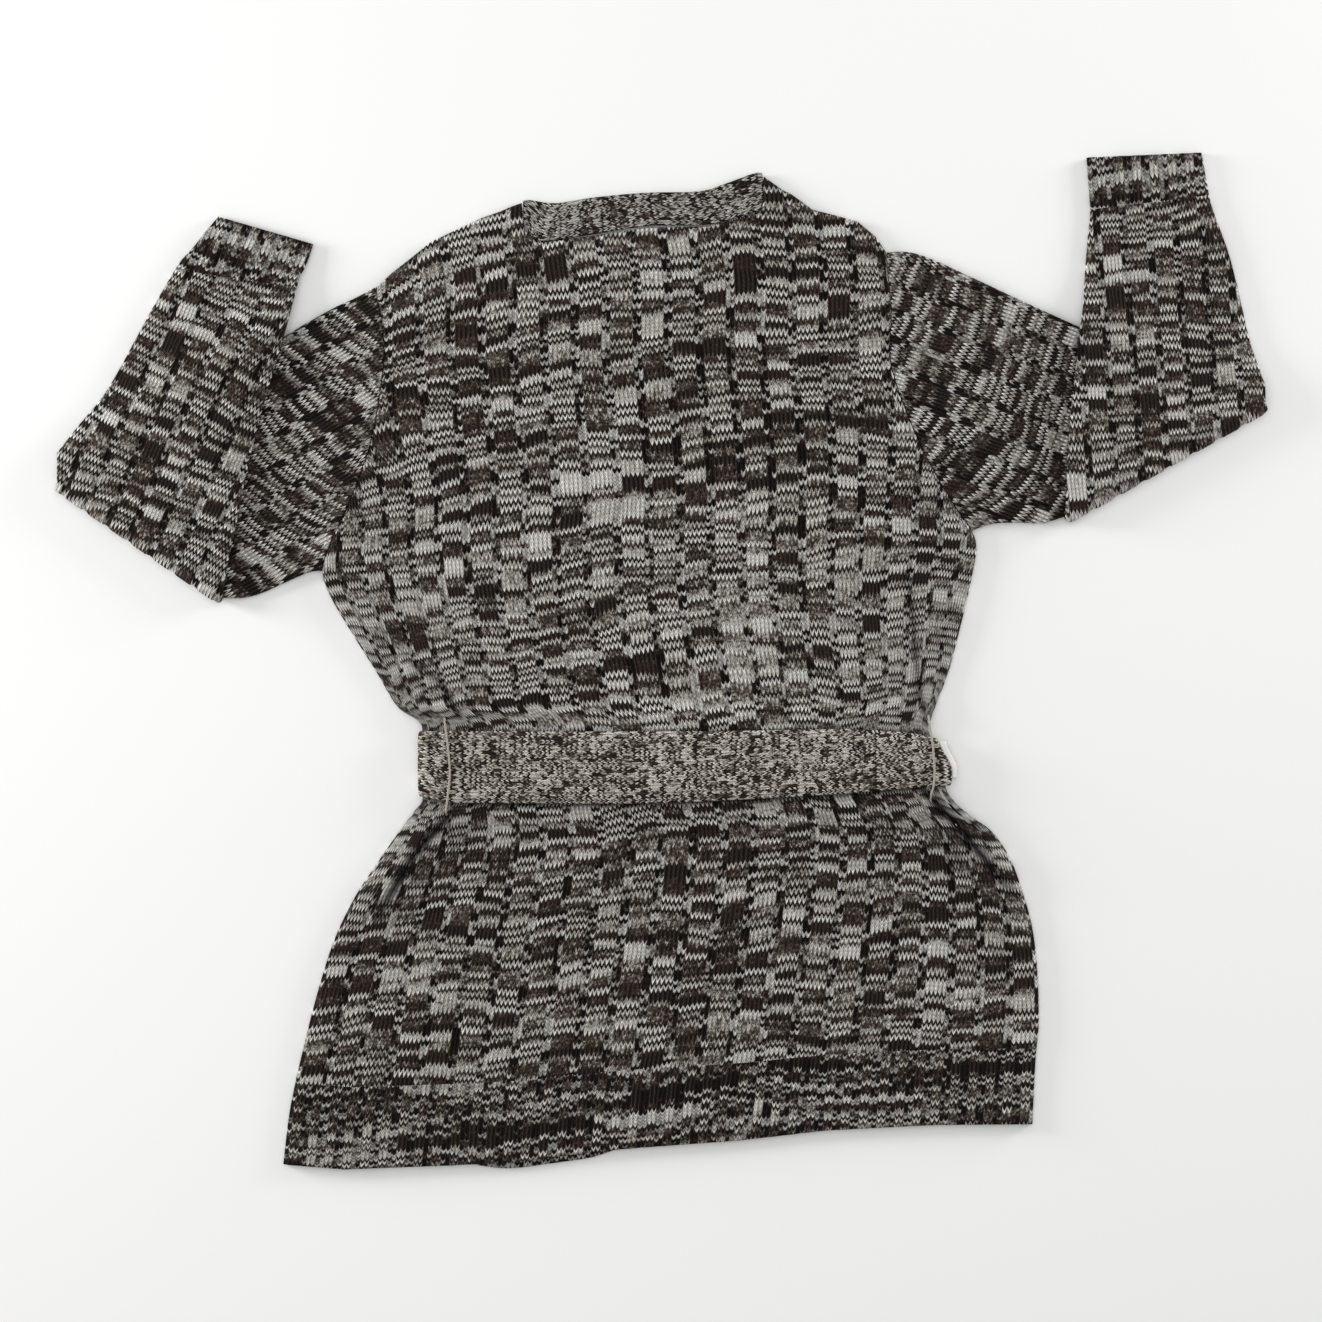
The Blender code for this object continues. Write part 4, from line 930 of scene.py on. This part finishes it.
def build_belt():
    """The belt round the waist, over the back, round both sides and under the fronts."""
    cloth = Cloth("belt_knit")
    low = BELT_WALL
    high = BACK_INSIDE + BELT_LIFT + CREST_WALL + 0.7
    corners = ((0.0, 0.0, 225), (0.0, 0.25, 195), (0.0, 0.5, 180), (0.0, 0.75, 160), (1.0, 0.9, 140),
               (2.6, 0.97, 118))
    run_in = BELT_WALL + BELT_CORNER
    stations = []
    for k in range(25):
        stations.append((blend(FRONT_CENTRE - 0.6, BELT_LEFT + run_in, k / 24), low, 270))
    stations += [(BELT_LEFT + BELT_WALL + dx, blend(low, high, up), turn) for dx, up, turn in corners]
    for k in range(121):
        x = blend(BELT_LEFT + run_in, BELT_RIGHT - run_in, k / 120)
        stations.append((x, high + float(belt_swell(x)), 90))
    stations += [(BELT_RIGHT - BELT_WALL - dx, blend(low, high, up), 180 - turn)
                 for dx, up, turn in corners[::-1]]
    for k in range(25):
        stations.append((blend(BELT_RIGHT - run_in, FRONT_CENTRE + 0.6, k / 24), low, -90))
    path = np.array(stations, float)
    share = np.concatenate([[0, 0.02, 0.06, 0.12], np.linspace(0.18, 0.82, 15), [0.88, 0.94, 0.98, 1]])
    swell = 1 - 0.5 * np.exp(-np.minimum(share, 1 - share) / 0.03)
    x, z = path[:, 0:1], path[:, 1:2]
    nx, nz = np.cos(np.radians(path[:, 2:3])), np.sin(np.radians(path[:, 2:3]))
    y = blend(along(BELT_EDGES, x, 1), along(BELT_EDGES, x, 2), share)
    thick = np.where(nz < -0.9, BELT_WALL, BELT_WALL * swell)
    slant = belt_slant(share, x)
    ripple = np.where(nz > 0.5, 0.25 * np.sin(x / 19 + y / 31) * np.sin(x / 53), 0.0)
    outer = np.stack([x + nx * thick - slant, y, z + nz * (thick + ripple)], -1)
    inner = np.stack([x - slant, y, z + 0 * share], -1)
    step = np.hypot(np.diff(path[:, 0]), np.diff(path[:, 1]))
    length = np.concatenate([[0], np.cumsum(step)])[:, None]
    uv = np.stack([(y - y[:, :1]), length + 0 * share], -1)
    top = cloth.grid(outer, uv)
    under = cloth.grid(inner[:, ::3], uv[:, ::3], flip=True)
    join_rims(cloth, top, under)
    piece = cloth.finish([body_material("fine_marl_knit")])
    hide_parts("belt")
    return piece


def armhole_x(side, y):
    """x of the back's edge along the armhole, on the soft curve that the back follows."""
    last = len(BACK_ROWS) - 1
    rows = curve(BACK_ROWS, np.linspace(UNDERARM_ROW - 1, last, 81))
    end = NECK_LINE[-1] if side > 0 else NECK_LINE[0]
    ys = np.append(rows[:, 1 if side > 0 else 0], end[1])
    xs = np.append(rows[:, 3 if side > 0 else 2], end[0])
    return np.interp(y, ys, xs)


def armhole_curve(plan, share):
    """How far the armhole seam lies from a straight line between the sleeve's first two ends."""
    side = plan["side"]
    high_x, high_y, low_x, low_y, _share = plan["upper"][0]
    y = blend(high_y, low_y, share)
    return armhole_x(side, y) + side * SEAM_GAP - blend(high_x, low_x, share)


def build_sleeve(name):
    """One sleeve: a flat tube to the elbow, a turn, and the forearm lying back over it."""
    plan = SLEEVES[name]
    side = plan["side"]
    rise = SLEEVE_HEIGHT + SLEEVE_RIB + 2 * SLEEVE_CLEAR
    radius = rise / 2
    low_z = SLEEVE_HEIGHT / 2
    start, end = np.array(plan["upper"][3][:2], float), np.array(plan["fold"][:2], float)
    a, b = np.array(plan["fold"][:2], float), np.array(plan["fold"][2:], float)
    across = np.linalg.norm(b - a)
    out = np.array([side * abs(b[1] - a[1]), -abs(b[0] - a[0])]) / across
    run = (end - start) / np.linalg.norm(end - start)

    upper = curve(plan["upper"], np.linspace(0, len(plan["upper"]) - 1, 61))
    fore = curve(plan["forearm"], np.linspace(0, len(plan["forearm"]) - 1, 82))
    turns = np.linspace(0, 180, 13)
    push = radius * np.sin(np.radians(turns)) - radius - SLEEVE_HEIGHT / 2
    turned = np.stack([a[0] + out[0] * push, a[1] + out[1] * push, b[0] + out[0] * push,
                       b[1] + out[1] * push, 0 * push], -1)
    sections = np.concatenate([upper, turned, fore])
    turn = np.concatenate([np.zeros(len(upper)), turns, np.full(len(fore), 180.0)])[:, None]
    height = low_z + np.where(turn > 0, radius * (1 - np.cos(np.radians(turn))), 0.0)
    is_fore = np.concatenate([np.zeros(len(upper) + len(turns)), np.ones(len(fore))])[:, None]
    height = np.where(is_fore > 0, low_z, height)

    mid = (sections[:, 0:2] + sections[:, 2:4]) / 2
    axis_up = mid[len(upper) - 1] - mid[12]
    axis_up /= np.linalg.norm(axis_up)
    axis_fore = mid[-1] - mid[len(upper) + len(turns) + 8]
    axis_fore /= np.linalg.norm(axis_fore)

    def lift(x, y):
        beyond = side * ((y - start[1]) * run[0] - (x - start[0]) * run[1])
        return rise * smooth(50.0, 4.0, beyond) * is_fore

    def stitches(x, y):
        """Wale and course places: straight along the upper arm, and along the forearm."""
        upper_place = np.stack([(x - mid[12, 0]) * -axis_up[1] + (y - mid[12, 1]) * axis_up[0],
                                (x - mid[12, 0]) * axis_up[0] + (y - mid[12, 1]) * axis_up[1]], -1)
        turn_rows = math.radians(plan["row_turn"])
        upper_place[..., 1] = (upper_place[..., 1] * math.cos(turn_rows)
                               + upper_place[..., 0] * math.sin(turn_rows))
        under = np.maximum(0.0, -side * upper_place[..., 0])
        upper_place[..., 1] += 0.003 * under ** 2 * smooth(150.0, 20.0, upper_place[..., 1])
        fore_place = np.stack([(x - mid[-1, 0]) * -axis_fore[1] + (y - mid[-1, 1]) * axis_fore[0],
                               (x - mid[-1, 0]) * axis_fore[0] + (y - mid[-1, 1]) * axis_fore[1]], -1)
        fore_place[..., 1] += 900
        pick = (turn > 60)[..., None]
        return np.where(pick, fore_place, upper_place)

    def ring(outer, columns):
        half = SLEEVE_HEIGHT / 2 if outer else SLEEVE_HOLLOW / 2
        bend = np.radians(np.linspace(-90, 90, 7)) if outer else np.radians([-90, 0, 90])
        edge = 0.0 if outer else SLEEVE_WALL
        inset = edge + half * 0.9
        ax, ay, bx, by, share_curve = [sections[:, k:k + 1] for k in range(5)]
        width = np.hypot(bx - ax, by - ay)
        ux, uy = (bx - ax) / width, (by - ay) / width
        flat = np.linspace(0, 1, columns)
        runs, thick = [], []
        over = inset + (width - 2 * inset) * flat
        runs += [over, width - inset + (half * 0.9) * np.cos(bend[1:-1])[None, :],
                 over[:, ::-1], inset + 0 * width - (half * 0.9) * np.cos(bend[1:-1])[None, :]]
        ones = np.ones_like(width)
        thick += [ones * half * np.ones(columns), ones * half * -np.sin(bend[1:-1]),
                  -ones * half * np.ones(columns), ones * half * np.sin(bend[1:-1])]
        run_all = np.concatenate(runs, 1)
        thick_all = np.concatenate(thick, 1)
        curve_x = share_curve * armhole_curve(plan, np.clip(run_all / width, 0, 1))
        x = ax + ux * run_all + curve_x
        y = ay + uy * run_all
        uv = stitches(x, y)
        if outer:
            narrow = SLEEVE_RIB_PITCH
            ribs = rib_height(uv[..., 0], narrow, STITCHES_IN_RIB, 2)
            cuff_line = uv[..., 1] - 900 > -CUFF_LENGTH
            cuff = rib_height(uv[..., 0], narrow * WELT_STITCHES / STITCHES_IN_RIB, WELT_STITCHES, 2)
            ribs = np.where(cuff_line & (turn > 60), 0.8 * cuff, ribs)
            side_fade = smooth(0.0, 7.0, run_all) * smooth(0.0, 7.0, width - run_all)
            shown = np.where(turn > 60, thick_all < -half * 0.99, thick_all > half * 0.99)
            start_fade = np.ones_like(turn)
            start_fade[:4, 0] = np.linspace(0.0, 1.0, 4)
            covered = np.where(turn > 60, 1.0, smooth(-4.0, 10.0, side * ((y - 0) * 0 + 1) * 20.0))
            relief = SLEEVE_RIB * ribs * side_fade * shown * start_fade * covered
            folds = fold_height(plan["folds"], x, y) * shown * side_fade
            folds = np.where(turn > 60, folds, folds * 0.5) * start_fade
            thick_all = thick_all + np.sign(thick_all) * relief + np.where(turn > 170, -folds, 0.0)
        angle = np.radians(turn)
        base = height + lift(x, y)
        z = base + thick_all * np.cos(angle)
        px = x - out[0] * thick_all * np.sin(angle)
        py = y - out[1] * thick_all * np.sin(angle)
        return np.stack([px, py, z], -1), uv

    cloth = Cloth(name + "_knit")
    outer_points, outer_uv = ring(True, 96)
    inner_points, inner_uv = ring(False, 20)
    columns = outer_points.shape[1]
    cuff_rows = np.zeros(len(sections) - 1, int)
    cuff_mid = outer_uv[:, columns // 2 + 20, 1] - 900
    cuff_rows[(cuff_mid[:-1] > -CUFF_LENGTH) & (turn[:-1, 0] > 60)] = 1
    outer = cloth.grid(outer_points, outer_uv, cuff_rows, wrap=True)
    inner = cloth.grid(inner_points[::2] if len(sections) % 2 else inner_points,
                       inner_uv[::2] if len(sections) % 2 else inner_uv, wrap=True, flip=True)
    for row in (0, -1):
        ring_out = np.concatenate([outer[row], outer[row][:1]])
        ring_in = np.concatenate([inner[row], inner[row][:1]])
        cloth.rim(ring_out, ring_in)
    piece = cloth.finish([body_material("sleeve_rib_knit"), body_material("two_by_two_welt")])
    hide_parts(name)
    return piece, sections


class CARDIGAN_OT_back(bpy.types.Operator):
    """Knit the back panel"""

    bl_idname = "cardigan.back"
    bl_label = "Back"

    def execute(self, context):
        build_back()
        return {"FINISHED"}


class CARDIGAN_OT_fronts(bpy.types.Operator):
    """Knit the two fronts that lie under the back"""

    bl_idname = "cardigan.fronts"
    bl_label = "Fronts"

    def execute(self, context):
        for side in (-1, 1):
            build_front(side)
        return {"FINISHED"}


class CARDIGAN_OT_sleeves(bpy.types.Operator):
    """Knit both sleeves, folded over at the elbow"""

    bl_idname = "cardigan.sleeves"
    bl_label = "Sleeves"

    def execute(self, context):
        flats = {"sleeve_left": (0.34, 0.56, 0.166), "sleeve_right": (0.34, 0.58, 0.172)}
        for name, (width, length, area) in flats.items():
            piece, _sections = build_sleeve(name)
        return {"FINISHED"}


class CARDIGAN_OT_neck_band(bpy.types.Operator):
    """Knit the front and neck band"""

    bl_idname = "cardigan.neck_band"
    bl_label = "Neck band"

    def execute(self, context):
        build_neck_band()
        return {"FINISHED"}


class CARDIGAN_OT_belt(bpy.types.Operator):
    """Knit the belt and chain its two thread loops"""

    bl_idname = "cardigan.belt"
    bl_label = "Belt and loops"

    def execute(self, context):
        build_belt()
        thread = twisted_thread("loop_thread", context.scene.cardigan_trim.thread)
        for name, route in LOOPS.items():
            points = np.array(route, float)
            places = np.linspace(0, len(points) - 1, 60)
            path = curve(points, places)
            belt_top = BACK_INSIDE + BELT_LIFT + CREST_WALL + 0.7 + BELT_WALL + belt_swell(path[30, 0])
            rest = BACK_INSIDE + belt_lift(path[:, 1]) + CREST_WALL + LOOP_RADIUS
            over = smooth(0.2, 1.0, places) * smooth(len(points) - 1.2, len(points) - 2.0, places)
            z = blend(rest, belt_top + LOOP_RADIUS + 0.2, over)
            cloth = Cloth(name + "_thread")
            turn = np.linspace(0, 2 * math.pi, 11)[:-1]
            twist = LOOP_RADIUS * (1 + 0.22 * np.sin(places[:, None] * 26 + turn[None, :]))
            ring = np.stack([path[:, 0:1] + twist * np.cos(turn), path[:, 1:2] + 0 * turn,
                             z[:, None] + twist * np.sin(turn)], -1)
            tube = cloth.grid(ring, ring[..., :2].copy(), wrap=True)
            for row in (0, -1):
                loop = np.concatenate([tube[row], tube[row][:1]])
                cloth.faces.append(np.array([(loop[k], loop[k + 1], loop[0], loop[0])
                                             for k in range(1, len(loop) - 2)]))
                cloth.slots.append(np.zeros(len(loop) - 3, int))
            piece = cloth.finish([thread])
            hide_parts(name)
        return {"FINISHED"}


class CARDIGAN_OT_label(bpy.types.Operator):
    """Sew in the blank side label"""

    bl_idname = "cardigan.label"
    bl_label = "Side label"

    def execute(self, context):
        cloth = Cloth("side_label_tape")
        down = np.linspace(0, 1, 24)[:, None]
        share = blend(LABEL["high"], LABEL["low"], down)
        across = np.linspace(0, 1, 8)[None, :]
        low_y, high_y = along(BELT_EDGES, BELT_RIGHT, 1), along(BELT_EDGES, BELT_RIGHT, 2)
        y = blend(low_y, high_y, share) + 0 * across
        near = BELT_RIGHT + LABEL["gap"] - belt_slant(share, BELT_RIGHT)
        x = near + across * blend(LABEL["width_high"], LABEL["width_low"], down)
        z = LABEL["z"] - 1.5 * down - across + 0.25 * np.sin(down * 9) * across
        low = np.stack([x, y, z], -1)
        high = low + np.array([0, 0, LABEL["wall"]])
        uv = low[..., :2].copy()
        bottom = cloth.grid(low, uv, flip=True)
        top = cloth.grid(high, uv)
        join_rims(cloth, top, bottom)
        piece = cloth.finish([woven_satin("label_satin", context.scene.cardigan_trim.satin)])
        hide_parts("side_label")
        return {"FINISHED"}


class CARDIGAN_OT_stage(bpy.types.Operator):
    """Lay out the pale floor, soft lights and the camera straight above"""

    bl_idname = "cardigan.stage"
    bl_label = "Stage"

    def execute(self, context):
        stage = context.scene.cardigan_stage
        mesh = bpy.data.meshes.new("floor")
        size, drop = 6.0, -0.0004
        mesh.from_pydata([(-size, -size, drop), (size, -size, drop), (size, size, drop),
                          (-size, size, drop)], [], [(0, 1, 2, 3)])
        floor = bpy.data.objects.new("floor", mesh)
        floor.data.materials.append(paper_floor("pale_board", stage.floor))
        context.collection.objects.link(floor)
        lights = (
            ("overhead_panel", (-0.35, 0.25, 2.4), 2.6, stage.key_power),
            ("left_panel", (-2.6, 0.7, 0.5), 0.8, stage.side_power),
            ("right_panel", (2.4, 1.1, 0.42), 0.9, 0.7 * stage.side_power),
        )
        for name, place, width, power in lights:
            light = bpy.data.lights.new(name, "AREA")
            light.size = width
            light.energy = power
            lamp = bpy.data.objects.new(name, light)
            lamp.location = place
            aim = -np.array(place)
            lamp.rotation_euler = (math.atan2(math.hypot(aim[0], aim[1]), -aim[2]), 0,
                                   math.atan2(aim[1], aim[0]) - math.pi / 2)
            context.collection.objects.link(lamp)
        world = bpy.data.worlds.new("soft_room")
        world.use_nodes = True
        world.node_tree.nodes["Background"].inputs[0].default_value = (1, 1, 1, 1)
        world.node_tree.nodes["Background"].inputs[1].default_value = stage.room_light
        context.scene.world = world
        context.scene.view_settings.view_transform = "Standard"
        camera_data = bpy.data.cameras.new("overhead_camera")
        camera_data.sensor_width = 36.0
        camera_data.lens = 36.0 * CAMERA_HEIGHT / FRAME_WIDTH
        camera = bpy.data.objects.new("overhead_camera", camera_data)
        camera.location = (0, 0, CAMERA_HEIGHT)
        context.collection.objects.link(camera)
        context.scene.camera = camera
        return {"FINISHED"}


class CARDIGAN_PT_panel(bpy.types.Panel):
    """Lists the pieces"""

    bl_idname = "CARDIGAN_PT_panel"
    bl_label = "Cardigan"
    bl_space_type = "VIEW_3D"
    bl_region_type = "UI"
    bl_category = "Cardigan"

    def draw(self, context):
        layout = self.layout
        for group in ("cardigan_knit", "cardigan_trim", "cardigan_stage"):
            settings = getattr(context.scene, group)
            for name in settings.bl_rna.properties.keys():
                if name not in ("rna_type", "name"):
                    layout.prop(settings, name)
        for operator in OPERATORS:
            layout.operator(operator.bl_idname)


GROUPS = {"cardigan_knit": CardiganKnit, "cardigan_trim": CardiganTrim, "cardigan_stage": CardiganStage}
OPERATORS = (CARDIGAN_OT_stage, CARDIGAN_OT_belt, CARDIGAN_OT_fronts, CARDIGAN_OT_back,
             CARDIGAN_OT_sleeves, CARDIGAN_OT_neck_band, CARDIGAN_OT_label)


def register():
    for name, group in GROUPS.items():
        bpy.utils.register_class(group)
        setattr(bpy.types.Scene, name, PointerProperty(type=group))
    for operator in OPERATORS:
        bpy.utils.register_class(operator)
    bpy.utils.register_class(CARDIGAN_PT_panel)


def unregister():
    bpy.utils.unregister_class(CARDIGAN_PT_panel)
    for operator in reversed(OPERATORS):
        bpy.utils.unregister_class(operator)
    for name, group in reversed(GROUPS.items()):
        delattr(bpy.types.Scene, name)
        bpy.utils.unregister_class(group)


def main():
    register()
    for operator in OPERATORS:
        group, name = operator.bl_idname.split(".")
        getattr(getattr(bpy.ops, group), name)()


if __name__ == "__main__":
    main()
